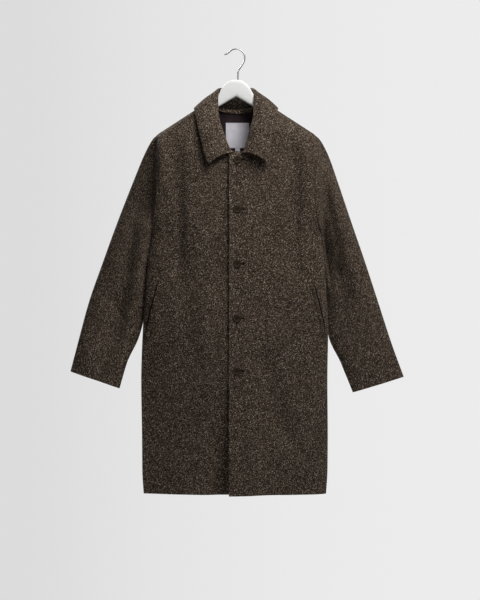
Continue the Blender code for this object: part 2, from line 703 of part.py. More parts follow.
def add_hanger():
    """A flat wooden hanger with a hump at the hook, a notched underside and straight arms."""
    hump = (0, 7, 14, 20, 26, 31, 36, 40, 44, 48, 53, 58)
    half = np.concatenate([hump, np.linspace(HANGER_ARM_FROM, HANGER_END_X, 8)])
    xs = np.concatenate([-half[:0:-1], half])
    angle = np.linspace(0, math.tau, 12, endpoint=False) + math.pi / 2
    power = 2 / HANGER_POWER
    rings = []
    for x in xs:
        top = hanger_top(x)
        low = HANGER_NOTCH_Z - HANGER_NOTCH_SLOPE * abs(x)
        shrink = 0.5 + 0.5 * math.sqrt(max(0.0, 1 - (abs(x) / (HANGER_END_X + 8)) ** 16))
        y = np.sign(np.cos(angle)) * np.abs(np.cos(angle)) ** power * HANGER_HALF_THICK * shrink
        z = (top + low) / 2 + np.sign(np.sin(angle)) * np.abs(np.sin(angle)) ** power * (top - low) / 2
        rings.append(np.stack([np.full_like(y, x), y, z], axis=-1))
    return add_bar("hanger", np.stack(rings), PAINTED_BEECH)


def add_hook():
    """The wire hook: a stem, a swan neck, a round crook and a turned-out tip."""
    centre_z = HOOK_WIRE / 2 - HOOK_RADIUS
    foot = hanger_top(HOOK_STEM_X) + SEAM_GAP
    start = math.radians(-18)
    turns = np.linspace(start, math.radians(138), 18)
    crook = [(HOOK_RADIUS * math.cos(turn), centre_z + HOOK_RADIUS * math.sin(turn)) for turn in turns]
    first = np.array(crook[0])
    leave = np.array([math.sin(start), -math.cos(start)])
    stem_top = np.array([HOOK_STEM_X, HOOK_STEM_TOP])
    neck = []
    for t in np.linspace(0, 1, 9)[:-1]:
        bend_a, bend_b = stem_top + [0, 14], first + 16 * leave
        point = (stem_top * (1 - t) ** 3 + bend_a * 3 * t * (1 - t) ** 2
                 + bend_b * 3 * t**2 * (1 - t) + first * t**3)
        neck.append(tuple(point))
    last = np.array(crook[-1])
    tip = [tuple(last + np.array(step)) for step in ((-5.0, -4.2), (-9.5, -6.2), (-13.5, -6.6))]
    path = [(HOOK_STEM_X, foot), (HOOK_STEM_X, (foot + HOOK_STEM_TOP) / 2)] + neck + crook + tip
    points = np.array([(x, 0.0, z) for x, z in path])
    along = unit(np.gradient(points, axis=0))
    square = np.stack([-along[:, 2], np.zeros(len(path)), along[:, 0]], axis=-1)
    angle = np.linspace(0, math.tau, HOOK_SIDES, endpoint=False)
    rings = (points[:, None] + HOOK_WIRE / 2 * (np.cos(angle)[:, None] * square[:, None]
                                                + np.sin(angle)[:, None] * np.array([0.0, 1.0, 0.0])))
    return add_bar("hanger_hook", rings, BRIGHT_STEEL)


def main():
    for obj in list(bpy.data.objects):
        bpy.data.objects.remove(obj)
    left, left_in = front_panel(LEFT)
    right, right_in = front_panel(RIGHT)
    back, back_in = back_panel()
    add_wall("front_left", left, left_in, TWEED)
    add_wall("front_right", right, right_in, TWEED)
    add_wall("back", back, back_in, TWEED)
    fronts = (("sleeve_left", LEFT, left, left_in), ("sleeve_right", RIGHT, right, right_in))
    for name, side, front, front_in in fronts:
        outer, inner = sleeve(side, armhole(side, front, back), armhole(side, front_in, back_in))
        add_wall(name, outer, inner, TWEED, closed=True)
    outer_line, inner_line = neckline(right, back, left), neckline(right_in, back_in, left_in)
    roll, out, edge, edge_way, bulge = collar_stations(outer_line)
    add_wall("collar_stand", *collar_stand(outer_line, inner_line, roll, out), TWEED)
    add_wall("collar_fall", *collar_fall(roll, out, edge, edge_way, bulge), TWEED)
    add_welt("pocket_welt_left", LEFT)
    add_welt("pocket_welt_right", RIGHT)
    for number, z in enumerate(BUTTON_ZS, 1):
        add_button(f"button_{number}", z)
    add_lining(back, back_in)
    add_label()
    add_hanger()
    add_hook()


main()
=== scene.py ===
# The look of a tweed car coat that hangs on a painted hanger, dressed over its solids.
# Sizes are millimetres until a mesh is made, in the solids' frame: +X is the wearer's left, -Y the front
# and +Z up, with the origin inside the top of the hanger's hook.
import math
from collections import namedtuple

import bmesh
import bpy
import numpy as np
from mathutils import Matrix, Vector


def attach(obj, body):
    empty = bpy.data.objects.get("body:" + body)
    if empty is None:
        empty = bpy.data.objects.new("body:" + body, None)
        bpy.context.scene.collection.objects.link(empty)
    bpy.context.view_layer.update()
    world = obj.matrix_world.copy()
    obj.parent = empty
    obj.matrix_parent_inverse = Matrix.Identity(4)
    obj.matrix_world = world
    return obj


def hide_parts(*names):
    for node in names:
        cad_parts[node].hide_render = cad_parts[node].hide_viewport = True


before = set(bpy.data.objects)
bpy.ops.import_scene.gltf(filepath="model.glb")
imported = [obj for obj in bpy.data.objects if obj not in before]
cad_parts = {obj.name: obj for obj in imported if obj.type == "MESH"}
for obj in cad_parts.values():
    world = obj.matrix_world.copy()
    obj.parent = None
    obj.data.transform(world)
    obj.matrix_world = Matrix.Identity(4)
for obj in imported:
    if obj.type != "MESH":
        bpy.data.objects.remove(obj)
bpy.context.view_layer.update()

MM = 0.001
LEFT, RIGHT = 1, -1
HANDS = (("left", LEFT), ("right", RIGHT))
FRONT, BACK = -1, 1

# Cloth and seams
CLOTH = 2.0
LINING_CLOTH = 1.0
SEAM_GAP = 0.3
LAY_GAP = 0.3
COLLAR_GAP, ROLL_GAP = 0.8, 0.4
SEAM_DIP, SEAM_DIP_WIDTH = 1.3, 3.2
SLEEVE_HEAD, SLEEVE_HEAD_RUN, SLEEVE_HEAD_END = 2.2, 9.0, 0.2

# Heights of the coat's main lines
HEM_Z = -1153.0
UNDERARM_Z = -478.0
SHOULDER_X, SHOULDER_Z = 207.0, -222.0
SHOULDER_SLOPE = 0.649
SHOULDER_SEAM_DROP = 16.5
CAP_HEIGHT = 70.0
SECTION_POWER = 2.5
NEAR_RIDGE = 0.6
FRONT_SCYE, BACK_SCYE, SCYE_SKEW, SCYE_REACH = 14.0, 9.0, 0.8, 4

# Neck and front edges
NECK_X, NECK_BEND, NAPE_BEND = 76.0, 1.3, 3
SHOULDER_SEAM_FROM = 68.0
THROAT_Z = -267.0
NAPE_Z, NAPE_X = -153.0, 64.0
NAPE_COLUMNS = (0.0, 16.0, 31.0, 45.0, 56.0, NAPE_X, 71.0, NECK_X)
LAP_OVER, LAP_UNDER = 18.0, 22.0
LAP_STEP, LAP_FADE_FROM, LAP_FADE_TO = 2.0, 34.0, 92.0
LAST_BUTTON_Z = -833.0
OVER_SWING, UNDER_SWING = 10.0, 17.0
FRONT_CORNER_DROP, CORNER_RUN, CORNER_HIGH_Z, CORNER_FALL = 1.5, 90.0, -1000.0, 150.0
COLLAR_END_X = 17.0
FRONT_EDGE, FRONT_EDGE_RUN = 2.6, 26.0

# Half widths on the wearer's right and left, and the depths in front of and behind the side seams
Level = namedtuple("Level", "z right left front back")
BODY = (
    Level(-1160, 240, 234, 51, 60),
    Level(-1100, 244, 238, 51, 58),
    Level(-1000, 245, 239, 51, 56),
    Level(-860, 247, 238, 51, 54),
    Level(-716, 242, 240, 50, 51),
    Level(-640, 237, 236, 49, 50),
    Level(-547, 230, 230, 47, 49),
    Level(-478, 221, 222, 46, 48),
    Level(-440, 241, 242, 45, 47),
    Level(-400, 273, 274, 44, 46),
    Level(-340, 318, 318, 42, 45),
    Level(-280, 335, 335, 39, 43),
    Level(-200, 340, 340, 35, 38),
    Level(-90, 340, 340, 31, 34),
)

# The largest folds, hung from the shoulders: a straight line on one face, how wide and how deep
Fold = namedtuple("Fold", "face x_high z_high x_low z_low width depth")
BODY_FOLDS = (
    Fold(FRONT, -146, -215, -144, -650, 24, 4.5),
    Fold(FRONT, 157, -205, 160, -640, 26, 5.0),
    Fold(FRONT, 74, -740, 128, -1060, 40, 4.0),
    Fold(FRONT, -96, -900, -112, -1240, 44, 3.5),
    Fold(BACK, -118, -300, -132, -1240, 34, 6.0),
    Fold(BACK, 112, -290, 124, -1240, 34, 6.0),
    Fold(BACK, 6, -420, 2, -1240, 46, 4.5),
)
FOLD_END = 90.0

# Creases: points across and up on one face, half widths towards -X and +X, and depth (a ridge where
# it is below nothing). They end softly, and die out towards the side seams and the shoulder line.
Crease = namedtuple("Crease", "face path low_width high_width depth")
CREASES = (
    Crease(FRONT, ((-148, -330), (-145, -450), (-142, -560), (-146, -680)), 15, 15, 4.0),
    Crease(FRONT, ((-190, -205), (-184, -390)), 13, 13, -5.5),
    Crease(FRONT, ((-203, -290), (-205, -420), (-214, -480)), 9, 12, -3.0),
    Crease(FRONT, ((-122, -190), (-122, -580)), 24, 100, -10.0),
    Crease(FRONT, ((142, -215), (150, -420), (146, -600)), 44, 17, 8.0),
    Crease(FRONT, ((114, -270), (118, -470)), 20, 20, -3.5),
    Crease(FRONT, ((180, -200), (182, -600)), 16, 18, -3.0),
    Crease(FRONT, ((-211, -130), (-212, -300), (-215, -380), (-224, -470)), 48, 7, 21.0),
    Crease(FRONT, ((-240, -330), (-260, -450), (-277, -550), (-301, -670), (-334, -830)), 34, 24, 13.0),
    Crease(FRONT, ((-292, -590), (-318, -700), (-338, -790), (-372, -960)), 34, 26, 14.0),
    Crease(FRONT, ((-330, -640), (-300, -690), (-280, -720)), 9, 9, 3.5),
    Crease(FRONT, ((207, -240), (211, -400), (218, -520)), 14, 7, -4.0),
    Crease(FRONT, ((217, -140), (223, -280), (226, -380), (231, -470), (241, -560), (256, -660)),
           6, 37, 21.0),
    Crease(FRONT, ((262, -540), (283, -643), (262, -740)), 14, 20, 6.0),
    Crease(FRONT, ((310, -560), (318, -660)), 13, 13, -3.0),
    Crease(FRONT, ((68, -755), (94, -916), (127, -989), (146, -1060)), 20, 26, 8.0),
    Crease(FRONT, ((-180, -880), (-170, -1090)), 30, 26, 4.0),
    Crease(FRONT, ((54, -640), (60, -780)), 12, 12, 2.5),
    Crease(FRONT, ((176, -700), (170, -800), (160, -900)), 16, 14, 4.0),
    Crease(FRONT, ((-75, -520), (-82, -700), (-78, -830)), 22, 20, -3.0),
    Crease(FRONT, ((-118, -620), (-124, -780)), 14, 16, 3.0),
    Crease(FRONT, ((186, -960), (192, -1120)), 18, 18, -3.5),
    Crease(FRONT, ((-25, -560), (-25, -1560)), 115, 115, -8.0),
    Crease(FRONT, ((-245, -640), (-245, -1560)), 60, 150, 16.0),
    Crease(BACK, ((-190, -260), (-172, -420), (-160, -600)), 16, 16, 5.0),
    Crease(BACK, ((186, -255), (166, -430), (158, -640)), 17, 17, 5.5),
    Crease(BACK, ((-60, -300), (-70, -520)), 22, 22, 3.0),
    Crease(BACK, ((52, -330), (64, -590)), 20, 20, -2.5),
    Crease(BACK, ((-220, -250), (-236, -360), (-262, -480), (-292, -640)), 24, 12, 12.0),
    Crease(BACK, ((224, -250), (238, -350), (258, -460), (300, -620)), 12, 24, 12.0),
    Crease(BACK, ((-318, -590), (-290, -650), (-268, -690)), 9, 9, 4.0),
    Crease(BACK, ((322, -600), (296, -668), (272, -712)), 9, 9, 4.0),
    Crease(BACK, ((-186, -760), (-176, -1130)), 22, 22, 4.0),
    Crease(BACK, ((176, -720), (182, -1100)), 24, 24, -3.0),
)
CREASE_END, CREASE_SPLIT = 0.22, 6
CALM_SHARE, CALM_DROP = 0.6, 25.0

# Slow unevenness of hung cloth: how far out, and the wave lengths across and up
Wave = namedtuple("Wave", "lift across up start")
WAVES = (
    Wave(0.7, 148, 610, 0.4),
    Wave(0.5, 92, -430, 2.1),
    Wave(0.35, 61, 260, 4.0),
    Wave(0.3, -230, 170, 1.2),
)

# Sleeve sections from armhole to cuff: the outer and inner edge, and the depths about the set-back line
Section = namedtuple("Section", "share outer_x outer_z inner_x inner_z front back set_back")
SLEEVES = {
    LEFT: (
        Section(0.00, 207, -222, 222, -478, 42, 44, 0),
        Section(0.06, 224, -244, 224, -486, 41, 46, 2),
        Section(0.14, 243, -281, 226, -500, 41, 48, 4),
        Section(0.26, 268, -352, 230, -530, 40, 49, 7),
        Section(0.40, 300, -446, 236, -590, 36, 47, 10),
        Section(0.55, 336, -550, 240, -660, 31, 42, 11),
        Section(0.70, 372, -660, 246, -745, 26, 34, 10),
        Section(0.85, 405, -762, 274, -817, 22, 28, 8),
        Section(1.00, 437, -850, 304, -891, 20, 23, 6),
    ),
    RIGHT: (
        Section(0.00, 207, -222, 221, -478, 42, 44, 0),
        Section(0.06, 223, -244, 223, -486, 40, 45, 2),
        Section(0.14, 243, -281, 225, -500, 38, 45, 5),
        Section(0.26, 273, -352, 230, -530, 35, 44, 9),
        Section(0.40, 310, -446, 237, -590, 31, 41, 12),
        Section(0.55, 348, -550, 242, -660, 27, 36, 12),
        Section(0.70, 385, -656, 256, -745, 23, 30, 10),
        Section(0.85, 412, -756, 282, -812, 20, 26, 8),
        Section(1.00, 433, -837, 302, -880, 19, 22, 6),
    ),
}
SLEEVE_POWER = 2.2
SLEEVE_SETTLE = 0.30
SLEEVE_LENGTH = 640.0
SLEEVE_SEAMED = 0.5
SLEEVE_TURN = {LEFT: 0.0, RIGHT: 18.0}

# The sleeve's inner edge tucks in and back beside the body: how far, how close to the edge, and between
# which shares of the sleeve
TUCK_IN, TUCK_IN_POWER = 8.0, 8
TUCK_BACK = {LEFT: 28.0, RIGHT: 22.0}
TUCK_FRONT_POWER, TUCK_BACK_POWER = {LEFT: 2.4, RIGHT: 6.0}, 10
TUCK_FROM, TUCK_RISE, TUCK_TO, TUCK_FALL = 0.04, 0.14, 0.86, 0.3

# Troughs down the sleeves' fronts, as shares across from the inner to the outer edge
SleeveFold = namedtuple("SleeveFold", "side share_high across_high share_low across_low width depth")
SLEEVE_FOLDS = (
    SleeveFold(RIGHT, 0.10, 0.74, 0.72, 0.30, 24, 6.0),
    SleeveFold(LEFT, 0.10, 0.66, 0.74, 0.16, 22, 4.0),
)
SLEEVE_FOLD_START, SLEEVE_FOLD_END = 0.2, 0.3

# Collar from the nape to its front end: the neck side of the roll, which way the roll turns out, the
# outer edge on the coat, the bulge between the two and how far the edge stands off the coat
Station = namedtuple("Station", "share roll_x roll_y roll_z turn edge_x edge_past bulge lift")
COLLAR = (
    Station(0.00, 0, 26, -101, 90, 0, -90, 3.0, 1.5),
    Station(0.15, 20, 24, -101, 70, 52, -55, 3.0, 1.8),
    Station(0.30, 38, 14, -102, 35, 88, -20, 2.0, 2.6),
    Station(0.42, 45, 0, -110, 5, 106, 0, 2.0, 3.6),
    Station(0.53, 46, -13, -135, -15, 102, 27, 5.5, 2.4),
    Station(0.66, 43, -24, -177, -35, 95, 69, 6.0, 1.2),
    Station(0.79, 34, -33, -215, -50, 87, 106, 5.0, 1.2),
    Station(0.91, 24, -39, -254, -60, 79, 143, 4.0, 1.2),
    Station(1.00, 16, -43, -273, -68, 70, 168, 3.0, 1.2),
)
ROLL_RADIUS = 4.5
ROLL_DEGREES = np.linspace(180, 45, 10)[1:]
STAND_ROWS, FALL_ROWS = 12, 25
COLLAR_EDGE, COLLAR_EDGE_RUN = 1.6, 0.5

# The leaves spring off the fronts, and more at their points. The left one stands out and the right one is
# drawn in towards its end.
COLLAR_SPRING, SPRING_FROM, SPRING_RUN = 8.0, 0.45, 0.3
POINT_SPRING, POINT_FROM, POINT_RUN = 0.3, 0.75, 0.25
LEAF_FROM, LEAF_RUN = 0.7, 0.3
LEFT_POINT_OUT, LEFT_POINT_UP, LEFT_LEAF_LIFT, RIGHT_END_IN = 12.0, 10.0, 5.0, 7.0

# The turned edge inside the nape: how far in, half its height, how far down, and how far back it starts
NECK_EDGE_IN, NECK_EDGE_UP, NECK_EDGE_DOWN, NECK_EDGE_FROM = 3.6, 6.0, 4.5, 6.0
NECK_EDGE_ANGLES = np.radians(np.linspace(-80, 80, 9))

# Pocket welts: arc forward of the side seam at the upper and lower end. The top is rounded to its edges, and
# thickest at the folded one.
WELT_HIGH_Z, WELT_LOW_Z = -610.0, -742.0
WELT_HIGH_ARC, WELT_LOW_ARC = 50.0, 24.0
WELT_WIDTH, WELT_SLANT, WELT_ROWS, WELT_COLUMNS = 8.0, 3.0, 41, 9
WELT_EDGE, WELT_ROUND, WELT_FOLD, WELT_FALL = 0.55, 0.45, 1.7, 0.9
WELT_STITCH_AT, WELT_STITCH_SHARE = 0.8, 0.62
ARC_STEPS = 240

# The pocket's mouth, a dark sheet of painted shade: its width as a share of the welt's, its gape at the ends
# and what the middle adds, and how far it stands proud of the front and goes into it
MOUTH_WIDTH, MOUTH_END, MOUTH_GAPE, MOUTH_COLUMNS = 0.7, 0.35, 0.65, 6
MOUTH_PROUD, MOUTH_SUNK = 0.25, 0.6

# Buttons: the turned face and underside, as shares of the radius and heights, and the eyes for the thread
Turn = namedtuple("Turn", "share high")
BUTTON_DIAMETER, BUTTON_DISH, BUTTON_SIDES = 20.0, 2.4, 56
BUTTON_FACE = (Turn(0, BUTTON_DISH), Turn(0.5, 2.5), Turn(0.68, 2.7), Turn(0.76, 3.3), Turn(0.84, 3.6),
               Turn(0.94, 3.4), Turn(1.0, 2.4))
BUTTON_UNDER = (Turn(1.0, 1.2), Turn(0.92, 0.2), Turn(0.6, 0.0), Turn(0.02, 0.0))
BUTTON_RINGS = np.concatenate([np.linspace(0.02, 0.66, 16), np.linspace(0.70, 1.0, 10)])
BUTTON_X, BUTTON_GAP = 3.5, LAY_GAP + 0.1
EYE_SPREAD, EYE_DEPTH, EYE_RADIUS, EYE_EDGE = 1.65, 1.6, 1.25, 0.5
BUTTON_ZS = (-289.0, -417.0, -557.0, -698.0, LAST_BUTTON_Z)

# Buttonholes and stitches: where a hole's worked lips run from and to, how near and far from the slit they
# reach, and half the thickness of the threads
HOLE_FROM, HOLE_TO, HOLE_SLIT, HOLE_LIP = 9.0, 22.0, 0.2, 2.3
STITCH = 0.45
SLIT_STITCH, BUTTON_STITCH, LABEL_STITCH = STITCH * 1.2, STITCH * 0.8, STITCH * 0.7
BUTTON_STITCH_APART = 0.35

# One stitch, in half thicknesses of its thread: its arch, how deep its ends sink and how thin they are
THREAD_SIDES, THREAD_RINGS, THREAD_ARCH, THREAD_SINK, THREAD_END = 6, 7, 1.6, 0.8, 0.5

# Lining and label inside the back
LINING_FIRST_ROW, LINING_ROWS, LINING_COLUMNS = 4, 36, 7
LINING_TOP_DROP, LINING_RIDGE_DROP = 5.0, 24.0
LABEL_X, LABEL_WIDTH, LABEL_HIGH_Z, LABEL_LOW_Z = 4.0, 61.0, -187.0, -252.5
LINING_GAP, LABEL_EASE = 0.8, 0.4
LABEL_DEPTH = CLOTH + LINING_GAP + LINING_CLOTH + LABEL_EASE
LABEL_STITCH_IN, LABEL_STITCH_END, LABEL_STITCH_STEP, LABEL_STITCH_LONG = 1.6, 2.0, 2.6, 1.7
TAB_WIDTH, TAB_LENGTH = 12.0, 16.0
LABEL_COLUMNS, LABEL_ROWS, TAB_COLUMNS, TAB_ROWS = 31, 35, 9, 9

# Hanger and hook
Rise = namedtuple("Rise", "x top")
HANGER_HUMP = (Rise(0, -78), Rise(14, -80.5), Rise(26, -88), Rise(36, -99), Rise(42, -110),
               Rise(47, -118.5), Rise(54, -129), Rise(64, -138.5), Rise(76, -145.5))
HANGER_END_X = 198.0
HANGER_ARM_XS = (100.0, 110.0, 160.0, HANGER_END_X)
HANGER_HALF_XS = np.concatenate([np.linspace(0, 60, 41), np.linspace(62, HANGER_END_X, 60)])
HANGER_TIP, HANGER_TIP_PAST, HANGER_TIP_POWER, HANGER_SIDES = 0.5, 8.0, 16, 40
HANGER_GAP = SEAM_GAP * 1.2
HANGER_NOTCH_Z, HANGER_NOTCH_SLOPE = -122.0, 0.587
HANGER_HALF_THICK, HANGER_POWER = 7.0, 4.2
HOOK_WIRE, HOOK_RADIUS = 3.6, 23.0
HOOK_STEM_X, HOOK_STEM_TOP = 5.0, -60.0
HOOK_FROM, HOOK_TO = math.radians(-18), math.radians(138)
HOOK_STEM_EASE, HOOK_CROOK_EASE = 8.0, 14.0
HOOK_TIP = ((0.0, 0.0), (-5.0, -4.2), (-9.5, -6.2), (-13.5, -6.6))
HOOK_TIP_SPLIT, HOOK_NECK_STEPS, HOOK_CROOK_STEPS, HOOK_SIDES = 4, 16, 40, 20

# Mesh counts: the pattern's coarse grid, and how finely the cloth is laid over it
LOW_ROWS, HIGH_ROWS, FRONT_COLUMNS, BACK_COLUMNS = 13, 9, 17, 15
NECK_COLUMNS = 7
COLUMN_CROWD = 1.6
BACK_CLIMB = (-40.0, -20.0, -8.0, -2.5, 0.0, 3.0, 9.0, SHOULDER_SEAM_DROP - SEAM_GAP / 2)
BACK_RISE_ROWS, BACK_RISE_SPARE, BACK_RISE_TOP, BACK_SETTLE = 5, 3, -60.0, 260.0
ROW_SPLIT, COLUMN_SPLIT = 8, 4
SLEEVE_RINGS, RING_CROWD = 120, 1.25
SHARP_ANGLE = math.radians(50)

# Slopes of the body are taken over a small step, and kept from dividing by nothing
SLOPE_STEP, TINY = 0.01, 1e-9

# Tweed: a yarn's width, the length of its waver and how far that takes it, patches of shade, and the nap
PER_MM = 1000.0
YARN, WAVER, WAVER_REACH, PATCH, NAP = 0.95, 22, 4, 26, 2.2
BOLT_SPREAD = 3.7

# A wave texture's bands come this often in one unit of its scale
WAVE_BANDS = 20 / math.tau

# Stage, with the lights' and the camera's places in metres
SURROUND_LIGHT = 0.15
FLOOR_Z, FLOOR_THICK, FLOOR_RINGS, FLOOR_SIDES = -1720.0, 20.0, (20, 400, 800, 1200), 64
Light = namedtuple("Light", "name place aim size power colour")
LIGHTS = (
    Light("key", (0.82, -1.02, 1.2), (0.05, 0.0, -0.4), 1.4, 57, "#fffdfa"),
    Light("fill", (1.2, -3.4, 0.2), (0.0, 0.0, -0.7), 2.0, 3.5, "#f8f9ff"),
    Light("behind", (-1.3, 1.9, 1.3), (0.0, 0.0, -0.6), 1.4, 120, "#fbfaff"),
)
CAMERA_X, CAMERA_Z, CAMERA_AWAY, VIEW_HALF_HIGH = 0.0104, -0.6508, 4.75, 0.78

# A flat cut of cloth: width, length and area in metres
Cut = namedtuple("Cut", "width length area")


# Curves and meshes

def through(knots, values):
    """A smooth function through the given pairs that doesn't overshoot them."""
    k, v = np.asarray(knots, float), np.asarray(values, float)
    step = np.diff(k)
    rise = np.diff(v) / step
    slope = np.concatenate([rise[:1], np.zeros(len(k) - 2), rise[-1:]])
    product = rise[:-1] * rise[1:]
    total = np.where(product > 0, rise[:-1] + rise[1:], 1.0)
    slope[1:-1] = np.where(product > 0, 2 * product / total, 0.0)

    def at(x):
        x = np.clip(np.asarray(x, float), k[0], k[-1])
        i = np.clip(np.searchsorted(k, x) - 1, 0, len(step) - 1)
        u = (x - k[i]) / step[i]
        start = v[i] * (1 + 2 * u) + slope[i] * step[i] * u
        end = v[i + 1] * (3 - 2 * u) - slope[i + 1] * step[i] * (1 - u)
        return start * (1 - u) ** 2 + end * u**2

    return at


def columns(rows, key):
    """Functions of the rows' key column, one for each of the other columns."""
    names = [name for name in rows[0]._fields if name != key]
    knots = [getattr(row, key) for row in rows]
    return {name: through(knots, [getattr(row, name) for row in rows]) for name in names}


def finer(values, split, axis=0):
    """The same grid with each stretch along one axis cut in equal parts, on a smooth curve."""
    v = np.moveaxis(np.asarray(values, float), axis, 0)
    before = np.concatenate([2 * v[:1] - v[1:2], v[:-1]])
    after = np.concatenate([v[1:], 2 * v[-1:] - v[-2:-1]])
    slope = (after - before) / 2
    parts = []
    for u in np.arange(split) / split:
        start = (v[:-1] * (1 + 2 * u) + slope[:-1] * u) * (1 - u) ** 2
        end = (v[1:] * (3 - 2 * u) - slope[1:] * (1 - u)) * u**2
        parts.append(start + end)
    fine = np.stack(parts, axis=1).reshape(-1, *v.shape[1:])
    return np.moveaxis(np.concatenate([fine, v[-1:]]), 0, axis)


def ease(x):
    x = np.clip(x, 0.0, 1.0)
    return x * x * (3 - 2 * x)


def unit(v):
    return v / np.linalg.norm(v, axis=-1, keepdims=True)


def grid_ways(grid, closed=False):
    """Directions square to a grid of points, from the run of its rows and columns."""
    down = np.gradient(grid, axis=0)
    if closed:
        across = np.roll(grid, -1, axis=1) - np.roll(grid, 1, axis=1)
    else:
        across = np.gradient(grid, axis=1)
    return unit(np.cross(across, down))


def run_lengths(grid, axis):
    """Length along a grid's rows or columns up to each point."""
    steps = np.linalg.norm(np.diff(grid, axis=axis), axis=-1)
    shape = list(grid.shape[:2])
    shape[axis] = 1
    return np.concatenate([np.zeros(shape), np.cumsum(steps, axis=axis)], axis=axis)


def path_lengths(path):
    """Length along a row of points up to each one."""
    return np.concatenate([[0], np.cumsum(np.linalg.norm(np.diff(path, axis=0), axis=1))])


def round_angles(count):
    return np.linspace(0, math.tau, count, endpoint=False)


def add_mesh(name, points, faces, finish, places=None):
    """A smooth mesh object from points in millimetres, with the cloth's own lengths as its flat layout."""
    mesh = bpy.data.meshes.new(name)
    mesh.from_pydata((np.asarray(points) * MM).tolist(), [], faces)
    if places is not None:
        layer = mesh.uv_layers.new(name="cut")
        layer.data.foreach_set("uv", (np.asarray(places) * MM).ravel())
    mesh.shade_smooth()
    mesh.set_sharp_from_angle(angle=SHARP_ANGLE)
    mesh.materials.append(finish)
    obj = bpy.data.objects.new(name, mesh)
    bpy.context.scene.collection.objects.link(obj)
    return obj


def add_wall(name, outer, inner, finish, closed=False):
    """A closed wall between two grids of points (rows, columns, 3); a tube where closed."""
    rows, cols = outer.shape[:2]
    wide = np.concatenate([outer, outer[:, :1]], axis=1) if closed else outer
    across = run_lengths(wide, 1)
    across = across - across[:, across.shape[1] // 2][:, None]
    along = run_lengths(wide, 0)
    flat = np.stack([across, along], axis=-1) + outer.mean(axis=(0, 1))[[0, 2]] * BOLT_SPREAD
    i, j = np.meshgrid(np.arange(rows - 1), np.arange(cols if closed else cols - 1), indexing="ij")
    i, j = i.ravel(), j.ravel()
    corners = [(i, j), (i, j + 1), (i + 1, j + 1), (i + 1, j)]
    index = np.stack([a * cols + b % cols for a, b in corners], axis=1)
    places = np.stack([flat[a, b] for a, b in corners], axis=1)
    middle = outer.reshape(-1, 3)[index]
    facing = np.cross(middle[:, 2] - middle[:, 0], middle[:, 3] - middle[:, 1])
    thick = (outer - inner).reshape(-1, 3)[index[:, 0]]
    if np.sum(facing * thick) < 0:
        index, places = index[:, ::-1], places[:, ::-1]
    behind = rows * cols
    faces = [index, index[:, ::-1] + behind]
    spots = [places, places[:, ::-1]]
    for row in (0, rows - 1):
        b = np.arange(cols if closed else cols - 1)
        faces.append(rim(row * cols + b, row * cols + (b + 1) % cols, behind))
        spots.append(np.stack([flat[row, b], flat[row, b + 1], flat[row, b + 1], flat[row, b]], axis=1))
    if not closed:
        a = np.arange(rows - 1)
        for col in (0, cols - 1):
            faces.append(rim(a * cols + col, (a + 1) * cols + col, behind))
            spots.append(np.stack([flat[a, col], flat[a + 1, col], flat[a + 1, col], flat[a, col]], axis=1))
    points = np.concatenate([outer.reshape(-1, 3), inner.reshape(-1, 3)])
    obj = add_mesh(name, points, np.concatenate(faces).tolist(), finish, np.concatenate(spots).reshape(-1, 2))
    turn_outward(obj)
    return obj


def rim(a, b, behind):
    return np.stack([a, b, b + behind, a + behind], axis=1)


def turn_outward(obj):
    """Makes every face of a closed mesh look out."""
    work = bmesh.new()
    work.from_mesh(obj.data)
    bmesh.ops.recalc_face_normals(work, faces=work.faces)
    work.to_mesh(obj.data)
    work.free()


def add_bars(name, bars, finish):
    """Solid bars in one mesh, each through a row of rings (ring, point, 3) and closed at both ends."""
    faces = []
    base = 0
    for rings in bars:
        count, sides = rings.shape[:2]
        last = base + (count - 1) * sides
        faces.append(tuple(base + j for j in range(sides)))
        faces.append(tuple(last + j for j in reversed(range(sides))))
        for i in range(count - 1):
            for j in range(sides):
                a, b = base + i * sides + j, base + i * sides + (j + 1) % sides
                faces.append((a, a + sides, b + sides, b))
        base += count * sides
    obj = add_mesh(name, np.concatenate([rings.reshape(-1, 3) for rings in bars]), faces, finish)
    turn_outward(obj)
    return obj


def thread(start, end, way, radius):
    """Rings of one short stitch on the cloth, which dips into it at both ends."""
    along = unit(end - start)
    across = unit(np.cross(way, along))
    up = np.cross(along, across)
    angle = round_angles(THREAD_SIDES)
    ring = np.cos(angle)[:, None] * across + np.sin(angle)[:, None] * up
    rings = []
    for share in np.linspace(0, 1, THREAD_RINGS):
        arch = math.sin(math.pi * share)
        middle = start + (end - start) * share + up * radius * (THREAD_ARCH * arch - THREAD_SINK)
        thick = THREAD_END + (1 - THREAD_END) * math.sqrt(max(arch, 0.0))
        rings.append(middle + ring * radius * thick)
    return np.stack(rings)


# The coat's body as one surface

BODY_AT = columns(sorted(BODY), "z")


def ridge(x):
    """Height of the shoulder line, which runs on straight to the centre."""
    return SHOULDER_Z + (SHOULDER_X - np.abs(x)) * SHOULDER_SLOPE


def half_width(x, z):
    return np.where(np.asarray(x) < 0, BODY_AT["right"](z), BODY_AT["left"](z))


def depth(face, z):
    return BODY_AT["front"](z) if face == FRONT else BODY_AT["back"](z)


def cap(x, z):
    """Share of the full depth just below the shoulder line, where the cloth goes over the hanger."""
    share = np.clip((ridge(x) - z) / CAP_HEIGHT, 0.0, 1.0)
    return np.sqrt(1 - (1 - share) ** 2)


def flatness(x, z):
    """Share of the depth left at x on the way from the centre to the side seam."""
    share = np.clip(np.abs(x) / half_width(x, z), 0.0, 1.0)
    return (1 - share**SECTION_POWER) ** (1 / SECTION_POWER)


